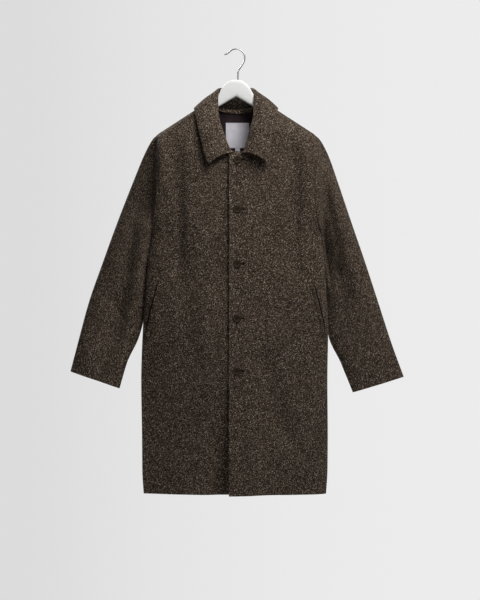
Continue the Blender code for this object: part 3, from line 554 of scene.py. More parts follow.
def fold_lift(face, x, z):
    """How far the large folds take the cloth out, which is less than nothing."""
    lift = np.zeros(np.broadcast(x, z).shape)
    for fold in BODY_FOLDS:
        if fold.face != face:
            continue
        share = (fold.z_high - z) / (fold.z_high - fold.z_low)
        middle = fold.x_high + (fold.x_low - fold.x_high) * share
        fade = ease((fold.z_high - z) / FOLD_END) * ease((z - fold.z_low) / FOLD_END)
        lift = lift - fold.depth * fade * np.exp(-(((x - middle) / fold.width) ** 2))
    return lift


def crease_lift(face, x, z):
    """How far the creases and the slow unevenness take the cloth out."""
    x, z = np.broadcast_arrays(np.asarray(x, float), np.asarray(z, float))
    lift = np.zeros(x.shape)
    for wave in WAVES:
        lift += wave.lift * np.sin(math.tau * (x / wave.across + z / wave.up) + wave.start + face)
    for crease in CREASES:
        if crease.face == face:
            path = finer(np.array(crease.path, float), CREASE_SPLIT)
            away, share = from_path(path, x, z)
            fade = ease(share / CREASE_END) * ease((1 - share) / CREASE_END)
            width = np.where(away < 0, crease.low_width, crease.high_width)
            lift -= crease.depth * fade * np.exp(-((away / width) ** 2))
    return lift


def from_path(path, x, z):
    """How far points lie to the +X side of a line down the cloth, and how far along it they are nearest."""
    best = np.full(x.shape, np.inf)
    share = np.zeros(x.shape)
    lengths = np.linalg.norm(np.diff(path, axis=0), axis=1)
    start = 0.0
    for (ax, az), (bx, bz), length in zip(path, path[1:], lengths):
        along = np.clip(((x - ax) * (bx - ax) + (z - az) * (bz - az)) / length**2, 0.0, 1.0)
        away = np.hypot(x - ax - along * (bx - ax), z - az - along * (bz - az))
        side = np.where((bx - ax) * (z - az) > (bz - az) * (x - ax), 1, -1)
        nearer = away < np.abs(best)
        best = np.where(nearer, side * away, best)
        share = np.where(nearer, (start + along * length) / lengths.sum(), share)
        start += length
    return best, share


def lap_lift(side, x, z):
    """The lapped fronts part by a step at the centre, and swing apart below the last button."""
    share = 1 - ease((np.abs(x) - LAP_FADE_FROM) / (LAP_FADE_TO - LAP_FADE_FROM))
    swing = ease((LAST_BUTTON_Z - z) / (LAST_BUTTON_Z - HEM_Z))
    out = LAP_STEP + OVER_SWING * swing if side == LEFT else -LAP_STEP - UNDER_SWING * swing
    return share * out


def base_y(face, x, z):
    return face * depth(face, z) * flatness(x, z) * cap(x, z)


def body_normal(face, x, z):
    """Outward direction of the body without its folds."""
    y = base_y(face, x, z)
    step = SLOPE_STEP

    def section_form(px, py, pz):
        across = (np.abs(px) / half_width(px, pz)) ** SECTION_POWER
        return across + (np.abs(py) / (depth(face, pz) * cap(px, pz) + TINY)) ** SECTION_POWER

    def cap_form(px, py, pz):
        high = 1 - (ridge(px) - pz) / CAP_HEIGHT
        return (py / (depth(face, pz) * flatness(px, pz) + TINY)) ** 2 + high**2

    def gradient(form):
        along_x = form(x + step, y, z) - form(x - step, y, z)
        along_y = form(x, y + step, z) - form(x, y - step, z)
        along_z = form(x, y, z + step) - form(x, y, z - step)
        return np.stack(np.broadcast_arrays(along_x, along_y, along_z), axis=-1)

    near_ridge = (ridge(x) - z) < NEAR_RIDGE * CAP_HEIGHT
    return unit(np.where(near_ridge[..., None], gradient(cap_form), gradient(section_form)))


def skin(face, x, z, lift=0.0):
    """Points of the cloth's outer side and the outward directions there."""
    x, z = np.broadcast_arrays(np.asarray(x, float), np.asarray(z, float))
    past = ridge(x) - z
    calm = ease(flatness(x, z) / CALM_SHARE) * ease(past / CALM_DROP)
    seam = SEAM_DIP * np.exp(-(((past - SHOULDER_SEAM_DROP) / SEAM_DIP_WIDTH) ** 2))
    seam = np.where((face == FRONT) & (np.abs(x) > SHOULDER_SEAM_FROM), seam, 0.0)
    out = fold_lift(face, x, z) + calm * crease_lift(face, x, z) - seam + lift
    y = base_y(face, x, z) + face * out
    return np.stack([x, y, z], axis=-1), body_normal(face, x, z)


def skin_past(x, past, lift=0.0):
    """The skin at a distance past the shoulder line, towards the front where it is positive."""
    z = ridge(x) - np.abs(past)
    in_front, front_way = skin(FRONT, x, z, lift)
    behind, back_way = skin(BACK, x, z, lift)
    front = (past > 0)[..., None]
    return np.where(front, in_front, behind), np.where(front, front_way, back_way)


# Panels

def crowd(count):
    """Shares from 0 to 1 that crowd towards the side seam."""
    return 1 - (1 - np.linspace(0, 1, count + 1)) ** COLUMN_CROWD


def scye(share, from_x, bow):
    """How far out the armhole runs, from the underarm to the shoulder."""
    return from_x + (SHOULDER_X - from_x) * share - bow * np.sin(np.pi * share**SCYE_SKEW)


def low_heights():
    return np.linspace(HEM_Z, UNDERARM_Z, LOW_ROWS + 1)


def front_top(edge):
    """The neckline from the front edge to the shoulder, then the shoulder seam: across, and height."""
    angles = np.linspace(math.pi / 2, 0, NECK_COLUMNS - 1)
    seam_z = ridge(NECK_X) - SHOULDER_SEAM_DROP - SEAM_GAP / 2
    curve_out = COLLAR_END_X + (NECK_X - COLLAR_END_X) * np.abs(np.cos(angles)) ** NECK_BEND
    neck_out = np.concatenate([[-edge, 0.0], curve_out])
    neck_z = np.concatenate([[THROAT_Z] * 2, seam_z + (THROAT_Z - seam_z) * np.sin(angles) ** NECK_BEND])
    seam_out = np.linspace(NECK_X, SHOULDER_X, FRONT_COLUMNS - NECK_COLUMNS + 1)[1:]
    seam_heights = ridge(seam_out) - SHOULDER_SEAM_DROP - SEAM_GAP / 2
    return np.concatenate([neck_out, seam_out]), np.concatenate([neck_z, seam_heights])


def lay_finer(grid):
    return finer(finer(grid, ROW_SPLIT, 0), COLUMN_SPLIT, 1)


def seam_dip(grid):
    """A shallow groove along a panel's side and armhole seam, by the distance from its last column."""
    away = run_lengths(grid[:, ::-1], 1)[:, ::-1]
    return SEAM_DIP * np.exp(-((away / SEAM_DIP_WIDTH) ** 2))


def front_panel(side):
    """Outer and inner points of one front: rows from the hem up, columns from its edge to the side."""
    edge = LAP_OVER if side == LEFT else LAP_UNDER
    share = crowd(FRONT_COLUMNS)
    z_low = np.repeat(low_heights()[:, None], len(share), axis=1)
    out_low = -edge + (half_width(side, z_low) + edge) * share
    if side == LEFT:
        near_edge = 1 - ease((out_low + edge) / CORNER_RUN)
        z_low = z_low - FRONT_CORNER_DROP * near_edge * ease((CORNER_HIGH_Z - z_low) / CORNER_FALL)
    top_out, top_z = front_top(edge)
    climb = ((1 - np.cos(np.pi * np.arange(1, HIGH_ROWS + 1) / HIGH_ROWS)) / 2)[:, None]
    under_out = out_low[-1]
    straight = under_out + (top_out - under_out) * climb
    bow = scye(climb, under_out[-1], FRONT_SCYE) - straight[:, -1:]
    out_high = straight + bow * share**SCYE_REACH
    z_high = UNDERARM_Z + (top_z - UNDERARM_Z) * climb
    out = lay_finer(np.concatenate([out_low, out_high]))
    z = lay_finer(np.concatenate([z_low, z_high]))
    turned_edge = FRONT_EDGE * (1 - ease((out + edge) / FRONT_EDGE_RUN)) if side == LEFT else 0.0
    outer, way = skin(FRONT, side * out, z, lap_lift(side, out, z))
    outer[: LOW_ROWS * ROW_SPLIT + 1, -1, 1] = -SEAM_GAP / 2
    inner = outer - (CLOTH + seam_dip(outer))[..., None] * way
    outer = outer + (turned_edge - seam_dip(outer))[..., None] * way
    return outer, inner


def nape_past(x):
    """The back neckline, as a distance past the shoulder line."""
    low = NAPE_Z + (ridge(NAPE_X) - NAPE_Z) * (np.minimum(x, NAPE_X) / NAPE_X) ** NAPE_BEND - ridge(x)
    over = BACK_CLIMB[-1] * (x - NAPE_X) / (NECK_X - NAPE_X)
    return np.where(x < NAPE_X, low, over)


def back_panel():
    """Outer and inner points of the back: rows from the hem over the shoulders, columns across."""
    half = crowd(BACK_COLUMNS)
    share = np.concatenate([-half[:0:-1], half])
    side = np.where(share < 0, RIGHT, LEFT)
    z_low = np.repeat(low_heights()[:, None], len(share), axis=1)
    x_low = half_width(share, z_low) * share

    seam_out = np.linspace(NECK_X, SHOULDER_X, BACK_COLUMNS - NECK_COLUMNS + 1)[1:]
    top_half = np.concatenate([NAPE_COLUMNS, seam_out])
    past_half = np.where(top_half < NECK_X, nape_past(top_half), BACK_CLIMB[-1])
    top_out = np.concatenate([top_half[:0:-1], top_half])
    top_past = np.concatenate([past_half[:0:-1], past_half])

    rise = np.arange(1, BACK_RISE_ROWS + 1) / (BACK_RISE_ROWS + BACK_RISE_SPARE)
    rise = (1 - np.cos(np.pi * rise)) / 2
    rows = [(climb, None) for climb in rise]
    rows += [(min(1.0, 1 + level / BACK_SETTLE), level) for level in BACK_CLIMB]
    out_under = np.abs(x_low[-1])
    xs, pasts = [x_low], [z_low - ridge(x_low)]
    for settled, level in rows:
        straight = out_under + (top_out - out_under) * settled
        bow = scye(settled, out_under[-1], BACK_SCYE) - straight[-1]
        out = straight + bow * np.abs(share) ** SCYE_REACH
        below = UNDERARM_Z - ridge(out)
        past = below + (BACK_RISE_TOP - below) * settled if level is None else level
        past = below + (past - below) * (top_past - below) / (BACK_CLIMB[-1] - below)
        xs.append((side * out)[None])
        pasts.append(past[None])
    x, past = lay_finer(np.concatenate(xs)), lay_finer(np.concatenate(pasts))
    outer, way = skin_past(x, past)
    outer[: LOW_ROWS * ROW_SPLIT + 1, [0, -1], 1] = SEAM_GAP / 2
    dip = np.maximum(seam_dip(outer), seam_dip(outer[:, ::-1])[:, ::-1])
    outer = outer - dip[..., None] * way
    return outer, outer - CLOTH * way


def armhole(side, front, back):
    """The armhole's points in order: from the shoulder seam down the front, and up the back."""
    first = LOW_ROWS * ROW_SPLIT
    down_front = front[:, -1][first:][::-1]
    up_back = back[:, -1 if side == LEFT else 0][first:]
    loop = np.concatenate([down_front, up_back[1:-1]])
    loop[0] = (down_front[0] + up_back[-1]) / 2
    loop[len(down_front) - 1] = (down_front[-1] + up_back[0]) / 2
    return loop + np.array([side * SEAM_GAP, 0, 0])


def sleeve(side, outer_loop, inner_loop):
    """Outer and inner points of a sleeve, as rings from the armhole to the cuff."""
    at = columns(SLEEVES[side], "share")
    shares = np.linspace(0, 1, SLEEVE_RINGS + 1) ** RING_CROWD

    def sleeve_frame(share):
        outer = np.array([side * at["outer_x"](share), 0, at["outer_z"](share)])
        inner = np.array([side * at["inner_x"](share), 0, at["inner_z"](share)])
        return (outer + inner) / 2 + [0, at["set_back"](share), 0], (outer - inner) / 2

    middle, reach = sleeve_frame(0.0)
    along = (outer_loop - middle) @ unit(reach) / np.linalg.norm(reach)
    angle = np.arccos(np.clip(along, -1, 1))
    in_front = outer_loop[:, 1] < 0
    start = outer_loop - ring_points(side, at, sleeve_frame, 0.0, angle, in_front)
    unsettled = 1 - ease(shares / SLEEVE_SETTLE)
    outer = np.stack([ring_points(side, at, sleeve_frame, share, angle, in_front) + start * rest
                      for share, rest in zip(shares, unsettled)])
    x, z = outer[..., 0], outer[..., 2]
    creased = np.where(in_front, crease_lift(FRONT, x, z), crease_lift(BACK, x, z))
    creased = ease(np.abs(np.sin(angle)) / CALM_SHARE) * (creased - creased[0] * unsettled[:, None])
    outer[..., 1] += np.where(in_front, FRONT, BACK) * creased
    way = side * grid_ways(outer, closed=True)
    run = shares * SLEEVE_LENGTH
    head = SLEEVE_HEAD * (1 - np.exp(-((run / SLEEVE_HEAD_RUN) ** 2))) * (1 - ease(shares / SLEEVE_HEAD_END))
    outer = outer + head[:, None, None] * way
    inner = outer - CLOTH * way
    seamed = np.sum(unit(outer_loop - inner_loop) * way[0], axis=-1) > SLEEVE_SEAMED
    inner[0] = np.where(seamed[:, None], inner_loop, inner[0])
    return outer, inner


def ring_points(side, at, sleeve_frame, share, angle, in_front):
    """One sleeve section without the armhole's own shape."""
    middle, reach = sleeve_frame(share)
    deep = np.where(in_front, at["front"](share), at["back"](share))
    face = np.where(in_front, FRONT, BACK)
    cos, sin = np.cos(angle), np.abs(np.sin(angle))
    across = np.sign(cos) * np.abs(cos) ** (2 / SLEEVE_POWER)
    lift = face * deep * sin ** (2 / SLEEVE_POWER)
    for fold in SLEEVE_FOLDS:
        if fold.side == side:
            run = (share - fold.share_high) / (fold.share_low - fold.share_high)
            fade = ease(run / SLEEVE_FOLD_START) * ease((1 - run) / SLEEVE_FOLD_END)
            centre = 2 * (fold.across_high + (fold.across_low - fold.across_high) * run) - 1
            away = (across - centre) * np.linalg.norm(reach) / fold.width
            lift = lift + np.where(in_front, fold.depth * fade * np.exp(-(away**2)), 0.0)
    points = middle + across[:, None] * reach
    tuck = ease((share - TUCK_FROM) / TUCK_RISE) * ease((TUCK_TO - share) / TUCK_FALL)
    inner = (1 - across) / 2
    power = np.where(in_front, TUCK_FRONT_POWER[side], TUCK_BACK_POWER)
    lift = lift + TUCK_BACK[side] * tuck * inner**power
    lift = lift + SLEEVE_TURN[side] * ease(share / SLEEVE_SETTLE) * across
    points[:, 0] -= side * TUCK_IN * tuck * inner**TUCK_IN_POWER
    return points + lift[:, None] * np.array([0, 1, 0])


# Collar

def neckline(right, back, left):
    """The neckline's points from the right front's collar end round the nape to the left's."""
    first, last = 2 * COLUMN_SPLIT, NECK_COLUMNS * COLUMN_SPLIT
    right_side = right[-1, first : last + 1]
    left_side = left[-1, first : last + 1][::-1]
    middle, reach = BACK_COLUMNS * COLUMN_SPLIT, NECK_COLUMNS * COLUMN_SPLIT
    nape = back[-1, middle - reach : middle + reach + 1]
    line = np.concatenate([right_side, nape[1:-1], left_side])
    line[last - first] = (right_side[-1] + nape[0]) / 2
    line[-(last - first) - 1] = (left_side[0] + nape[-1]) / 2
    return line


def collar_stations(line):
    """For each neckline point: the roll's neck side, the way it turns out, the outer edge and the bulge."""
    run = path_lengths(line)
    share = np.abs(2 * run / run[-1] - 1)
    side = np.where(run < run[-1] / 2, RIGHT, LEFT)
    at = columns(COLLAR, "share")
    leaf_end = ease((share - LEAF_FROM) / LEAF_RUN)
    left_point = np.where(side == LEFT, leaf_end, 0.0)
    right_end = np.where(side == RIGHT, leaf_end, 0.0)
    roll_x = side * (at["roll_x"](share) - RIGHT_END_IN * right_end)
    roll = np.stack([roll_x, at["roll_y"](share), at["roll_z"](share)], axis=-1)
    turn = np.radians(at["turn"](share))
    out = np.stack([side * np.cos(turn), np.sin(turn), np.zeros_like(turn)], axis=-1)
    edge_x = at["edge_x"](share) + LEFT_POINT_OUT * left_point
    edge, way = skin_past(side * edge_x, at["edge_past"](share) - LEFT_POINT_UP * left_point)
    more = 1 + POINT_SPRING * ease((share - POINT_FROM) / POINT_RUN)
    spring = COLLAR_SPRING * ease((share - SPRING_FROM) / SPRING_RUN) * more + LEFT_LEAF_LIFT * left_point
    lift = CLOTH + at["lift"](share) + spring
    return roll, out, edge + lift[:, None] * way, way, at["bulge"](share) + spring / 2


def collar_stand(outer_line, inner_line, roll, out):
    """The stand from the neckline up to the roll, leaning in towards the neck."""
    gap = COLLAR_GAP * unit(roll - inner_line)
    low_outer, low_inner = outer_line + gap, inner_line + gap
    top_inner = roll - np.array([0.0, 0.0, ROLL_GAP])
    top_outer = top_inner + CLOTH * out
    shares = np.linspace(0, 1, STAND_ROWS)[:, None, None]
    return low_outer + (top_outer - low_outer) * shares, low_inner + (top_inner - low_inner) * shares


def collar_fall(roll, out, edge, edge_way, bulge):
    """The fall's shown side from the roll to its edge, and its under side."""
    centre = roll + ROLL_RADIUS * out
    up = np.array([0.0, 0.0, 1.0])
    shown, under = [roll], [roll + CLOTH * out]
    for angle in np.radians(ROLL_DEGREES):
        way = math.cos(angle) * out + math.sin(angle) * up
        shown.append(centre + ROLL_RADIUS * way)
        under.append(centre + (ROLL_RADIUS - CLOTH) * way)
    start, start_way = shown[-1], unit(out + up)
    bend = (start + edge) / 2 + bulge[:, None] * 2 * unit(start_way + edge_way)
    for share in np.linspace(0, 1, FALL_ROWS)[1:]:
        way = unit(start_way * (1 - share) + edge_way * share)
        point = start * (1 - share) ** 2 + bend * 2 * share * (1 - share) + edge * share**2
        shown.append(point + COLLAR_EDGE * ease(share / COLLAR_EDGE_RUN) * way)
        under.append(point - CLOTH * way)
    return np.stack(shown), np.stack(under)


def add_neck_edge(name, outer_line, inner_line, finish):
    """The turned seam edge inside the nape, a narrow rounded strip along the neckline."""
    nape = inner_line[:, 1] > NECK_EDGE_FROM
    path, into = inner_line[nape], unit(inner_line - outer_line)[nape]
    angle = NECK_EDGE_ANGLES[None, :, None]
    up = np.array([0.0, 0.0, 1.0])
    bow = NECK_EDGE_IN * np.cos(angle) * into[:, None] + NECK_EDGE_UP * np.sin(angle) * up
    off_wall = LINING_GAP + LINING_CLOTH + LAY_GAP
    middle = path[:, None] + off_wall * into[:, None] - NECK_EDGE_DOWN * up
    return add_wall(name, middle + bow, middle + bow * (1 - LINING_CLOTH / NECK_EDGE_IN), finish)


# Small pieces

def front_at_arc(side, arc, z):
    """The across position on a front whose cloth runs the given arc forward from the side seam."""
    angle = np.linspace(0, math.pi / 2, ARC_STEPS)
    x = half_width(side, z) * np.cos(angle) ** (2 / SECTION_POWER)
    y = depth(FRONT, z) * np.sin(angle) ** (2 / SECTION_POWER)
    run = path_lengths(np.stack([x, y], axis=-1))
    return side * np.interp(arc, run, x)


def on_front(side, x, z):
    """Points and directions on a front with its lap."""
    x, z = np.broadcast_arrays(np.asarray(x, float), np.asarray(z, float))
    return skin(FRONT, x, z, lap_lift(side, np.abs(x), z))


def along_welt(side, parts):
    """Points and directions on a front down a welt, at shares of its width from its open edge."""
    z = np.linspace(WELT_HIGH_Z, WELT_LOW_Z, WELT_ROWS)[:, None] - WELT_SLANT * parts
    arc = np.linspace(WELT_HIGH_ARC, WELT_LOW_ARC, WELT_ROWS)[:, None] + WELT_WIDTH * parts
    x = [[float(front_at_arc(side, a, level)) for a, level in zip(*row)] for row in zip(arc, z)]
    return on_front(side, np.array(x), z)


def welt_height(parts):
    """How far the welt's top stands off the front: most at its open edge, least at its sewn one."""
    rounded = WELT_EDGE + WELT_ROUND * np.sqrt(1 - (2 * parts - 1) ** 4)
    return LAY_GAP + CLOTH * rounded * (WELT_FOLD - WELT_FALL * parts)


def add_welt(name, side, finish):
    """A narrow welt on the front, slanting towards the side seam, folded thick at its open edge."""
    parts = np.linspace(0, 1, WELT_COLUMNS)
    points, way = along_welt(side, parts)
    return add_wall(name, points + welt_height(parts)[:, None] * way, points + LAY_GAP * way, finish)


def add_mouth(name, side, finish):
    """A dark sheet along the welt's open edge, widest in the middle: painted shade for the pocket's opening.
    """
    gape = MOUTH_END + MOUTH_GAPE * np.sqrt(np.sin(np.linspace(0, math.pi, WELT_ROWS)))[:, None]
    points, way = along_welt(side, gape * np.linspace(-MOUTH_WIDTH, 0.0, MOUTH_COLUMNS))
    return add_wall(name, points + MOUTH_PROUD * way, points - MOUTH_SUNK * way, finish)


def add_welt_stitches(name, side, finish):
    """A row of short stitches that holds the welt's sewn edge."""
    parts = np.array([WELT_STITCH_AT])
    points, way = along_welt(side, parts)
    tops = (points + welt_height(parts)[:, None] * way)[:, 0]
    steps = zip(tops, tops[1:], way[:, 0])
    bars = [thread(a, a + (b - a) * WELT_STITCH_SHARE, out, STITCH) for a, b, out in steps]
    return add_bars(name, bars, finish)


def add_buttonholes(name, finish):
    """Worked buttonholes beside the buttons: threads across both lips, one along the slit and a bar. The
    thread along the slit stands for the slit's dark opening: painted shade.
    """
    bars = []
    for z in BUTTON_ZS:
        for x in np.arange(HOLE_FROM, HOLE_TO, 2 * STITCH):
            for lip in (1, -1):
                ends, way = on_front(LEFT, x, z + lip * np.array([HOLE_SLIT, HOLE_LIP]))
                bars.append(thread(ends[0], ends[1], way[0], STITCH))
        # The thread along the slit stands for the slit's dark opening: painted shade.
        slit, way = on_front(LEFT, np.array([HOLE_FROM, HOLE_TO]), z)
        bars.append(thread(slit[0], slit[1], way[0], SLIT_STITCH))
        for x in (HOLE_TO, HOLE_TO + 2 * STITCH):
            ends, way = on_front(LEFT, x, z + np.array([HOLE_LIP, -HOLE_LIP]))
            bars.append(thread(ends[0], ends[1], way[0], SLIT_STITCH))
    return add_bars(name, bars, finish)


def add_button_threads(name, finish):
    """Threads through the buttons' holes, two rows side by side."""
    bars = []
    for z in BUTTON_ZS:
        at, way = on_front(LEFT, BUTTON_X, z)
        turn = np.array(Vector(way).to_track_quat("Z", "Y").to_matrix())
        for row in (-1, 1):
            for shift in (-BUTTON_STITCH_APART, BUTTON_STITCH_APART):
                y = row * EYE_SPREAD + shift
                ends = np.array([[-EYE_SPREAD, y, BUTTON_DISH], [EYE_SPREAD, y, BUTTON_DISH]])
                ends = at + BUTTON_GAP * way + ends @ turn.T
                bars.append(thread(ends[0], ends[1], way, BUTTON_STITCH))
    return add_bars(name, bars, finish)


def add_button(name, z, finish):
    """A turned four-hole button with a raised rim and a dished face, on the lapped front."""
    radius = BUTTON_DIAMETER / 2
    face = columns(BUTTON_FACE, "share")["high"]
    turns = round_angles(BUTTON_SIDES)
    round_x, round_y = radius * np.cos(turns), radius * np.sin(turns)
    eyes = [(x, y) for x in (-EYE_SPREAD, EYE_SPREAD) for y in (-EYE_SPREAD, EYE_SPREAD)]
    grid = []
    for share in BUTTON_RINGS:
        x, y = round_x * share, round_y * share
        high = np.full_like(x, float(face(share)))
        for eye_x, eye_y in eyes:
            high = high - EYE_DEPTH * ease((EYE_RADIUS - np.hypot(x - eye_x, y - eye_y)) / EYE_EDGE)
        grid.append(np.stack([x, y, high], axis=-1))
    for share, high in BUTTON_UNDER:
        grid.append(np.stack([round_x * share, round_y * share, np.full_like(turns, high)], axis=-1))
    obj = add_bars(name, [np.stack(grid)], finish)
    at, way = on_front(LEFT, BUTTON_X, z)
    obj.location = Vector((at + BUTTON_GAP * way) * MM)
    obj.rotation_mode = "QUATERNION"
    obj.rotation_quaternion = Vector(way).to_track_quat("Z", "Y")
    return obj


def inside_back(x, z, depth_in):
    """Points a distance in from the back's outer side."""
    points, way = skin(BACK, x, z)
    return points - depth_in * way


def add_inside_sheet(name, xs, z_top, z_low, rows, finish):
    """A woven label that lies on the lining inside the back."""
    z = np.repeat(np.linspace(z_low, z_top, rows)[:, None], len(xs), axis=1)
    x = np.repeat(xs[None, :], rows, axis=0)
    outer, inner = inside_back(x, z, LABEL_DEPTH), inside_back(x, z, LABEL_DEPTH + LINING_CLOTH)
    return add_wall(name, outer, inner, finish)


def add_label_stitches(name, finish):
    """Stitches along the label's upper and lower edge."""
    half = LABEL_WIDTH / 2 - LABEL_STITCH_END
    depth_in = LABEL_DEPTH + LINING_CLOTH
    bars = []
    for z in (LABEL_HIGH_Z - LABEL_STITCH_IN, LABEL_LOW_Z + LABEL_STITCH_IN):
        for x in LABEL_X + np.arange(-half, half, LABEL_STITCH_STEP):
            ends = inside_back(np.array([x, x + LABEL_STITCH_LONG]), np.array([z, z]), depth_in)
            bars.append(thread(ends[0], ends[1], np.array([0.0, -1.0, 0.0]), LABEL_STITCH))
    return add_bars(name, bars, finish)


def add_lining(name, back, back_in, finish):
    """The lining in the neck, on the back's own points, short of the neck seam and of the hanger's arms."""
    way = (back - back_in) / CLOTH
    first = (LOW_ROWS + LINING_FIRST_ROW) * ROW_SPLIT
    middle, reach = BACK_COLUMNS * COLUMN_SPLIT, LINING_COLUMNS * COLUMN_SPLIT
    outers, inners = [], []
    for column in range(middle - reach, middle + reach + 1):
        path, ways = back_in[first:, column], way[first:, column]
        run = path_lengths(path)
        drop = ridge(path[:, 0]) - path[:, 2]
        rising = int(np.argmin(drop)) + 1
        clear = np.interp(-LINING_RIDGE_DROP, -drop[:rising], run[:rising])
        stops = np.linspace(0, min(run[-1] - LINING_TOP_DROP, clear), LINING_ROWS)
        points = np.stack([np.interp(stops, run, path[:, k]) for k in range(3)], axis=-1)
        turns = unit(np.stack([np.interp(stops, run, ways[:, k]) for k in range(3)], axis=-1))
        outers.append(points - LINING_GAP * turns)
        inners.append(points - (LINING_GAP + LINING_CLOTH) * turns)
    return add_wall(name, np.stack(outers, axis=1), np.stack(inners, axis=1), finish)


# Hanger

def hanger_top(x):
    """Height of the hanger's upper edge: its hump, then arms just under the coat's shoulders."""
    seat = CLOTH * math.hypot(1, SHOULDER_SLOPE) + HANGER_GAP
    arm = [Rise(out, ridge(out) - seat) for out in HANGER_ARM_XS]
    return columns((*HANGER_HUMP, *arm), "x")["top"](np.abs(x))


def add_hanger(name, finish):
    """A flat wooden hanger with a hump at the hook, a notched underside and straight arms."""
    angle = round_angles(HANGER_SIDES) + math.pi / 2
    power = 2 / HANGER_POWER
    wide = np.sign(np.cos(angle)) * np.abs(np.cos(angle)) ** power * HANGER_HALF_THICK
    high = np.sign(np.sin(angle)) * np.abs(np.sin(angle)) ** power
    rings = []
    for x in np.concatenate([-HANGER_HALF_XS[:0:-1], HANGER_HALF_XS]):
        top = hanger_top(x)
        low = HANGER_NOTCH_Z - HANGER_NOTCH_SLOPE * abs(x)
        past = (abs(x) / (HANGER_END_X + HANGER_TIP_PAST)) ** HANGER_TIP_POWER
        y = wide * (HANGER_TIP + (1 - HANGER_TIP) * math.sqrt(1 - past))
        z = (top + low) / 2 + high * (top - low) / 2
        rings.append(np.stack([np.full_like(y, x), y, z], axis=-1))
    return add_bars(name, [np.stack(rings)], finish)


def add_hook(name, finish):
    """The wire hook: a stem, a swan neck, a round crook and a turned-out tip."""
    centre_z = HOOK_WIRE / 2 - HOOK_RADIUS
    foot = hanger_top(HOOK_STEM_X) + SEAM_GAP
    turns = np.linspace(HOOK_FROM, HOOK_TO, HOOK_CROOK_STEPS)
    crook = np.stack([HOOK_RADIUS * np.cos(turns), centre_z + HOOK_RADIUS * np.sin(turns)], axis=-1)
    leave = np.array([math.sin(HOOK_FROM), -math.cos(HOOK_FROM)])
    stem_top = np.array([HOOK_STEM_X, HOOK_STEM_TOP])
    bend_low, bend_high = stem_top + [0, HOOK_STEM_EASE], crook[0] + HOOK_CROOK_EASE * leave
    t = np.linspace(0, 1, HOOK_NECK_STEPS + 1)[:-1, None]
    neck = (stem_top * (1 - t) ** 3 + bend_low * 3 * t * (1 - t) ** 2
            + bend_high * 3 * t**2 * (1 - t) + crook[0] * t**3)
    tip = finer(crook[-1] + np.array(HOOK_TIP), HOOK_TIP_SPLIT)[1:]
    stem = [(HOOK_STEM_X, foot), (HOOK_STEM_X, (foot + HOOK_STEM_TOP) / 2)]
    path = np.concatenate([stem, neck, crook, tip])
    level = np.zeros(len(path))
    points = np.stack([path[:, 0], level, path[:, 1]], axis=-1)
    along = unit(np.gradient(points, axis=0))
    square = np.stack([-along[:, 2], level, along[:, 0]], axis=-1)
    angle = round_angles(HOOK_SIDES)[:, None]
    ring = np.cos(angle) * square[:, None] + np.sin(angle) * np.array([0.0, 1.0, 0.0])
    return add_bars(name, [points[:, None] + HOOK_WIRE / 2 * ring], finish)


# Finishes

def linear(hex_colour):
    """An sRGB hex colour as linear light with full cover."""
    parts = [int(hex_colour[i : i + 2], 16) / 255 for i in (1, 3, 5)]
    return (*[c / 12.92 if c <= 0.04045 else ((c + 0.055) / 1.055) ** 2.4 for c in parts], 1.0)


def node(tree, kind, sockets=(), **settings):
    """Adds a node with its settings, and fills its sockets with values or with other nodes' outputs."""
    made = tree.nodes.new("ShaderNode" + kind)
    for name, value in settings.items():
        if name == "stops":
            ramp = made.color_ramp
            while len(ramp.elements) < len(value):
                ramp.elements.new(1.0)
            for element, (place, colour) in zip(ramp.elements, value):
                element.position = place
                element.color = linear(colour)
        elif name == "steps":
            made.color_ramp.interpolation = value
        else:
            setattr(made, name, value)
    fill(tree, made, sockets)
    return made


def fill(tree, made, sockets):
    """Fills a node's sockets with values or with other nodes' outputs."""
    for socket, value in dict(sockets).items():
        if isinstance(value, bpy.types.NodeSocket):
            tree.links.new(value, made.inputs[socket])
        else:
            made.inputs[socket].default_value = value


def finish_of(name):
    """A new material and its principled shader."""
    material = bpy.data.materials.new(name)
    material.use_nodes = True
    return material, material.node_tree, material.node_tree.nodes["Principled BSDF"]


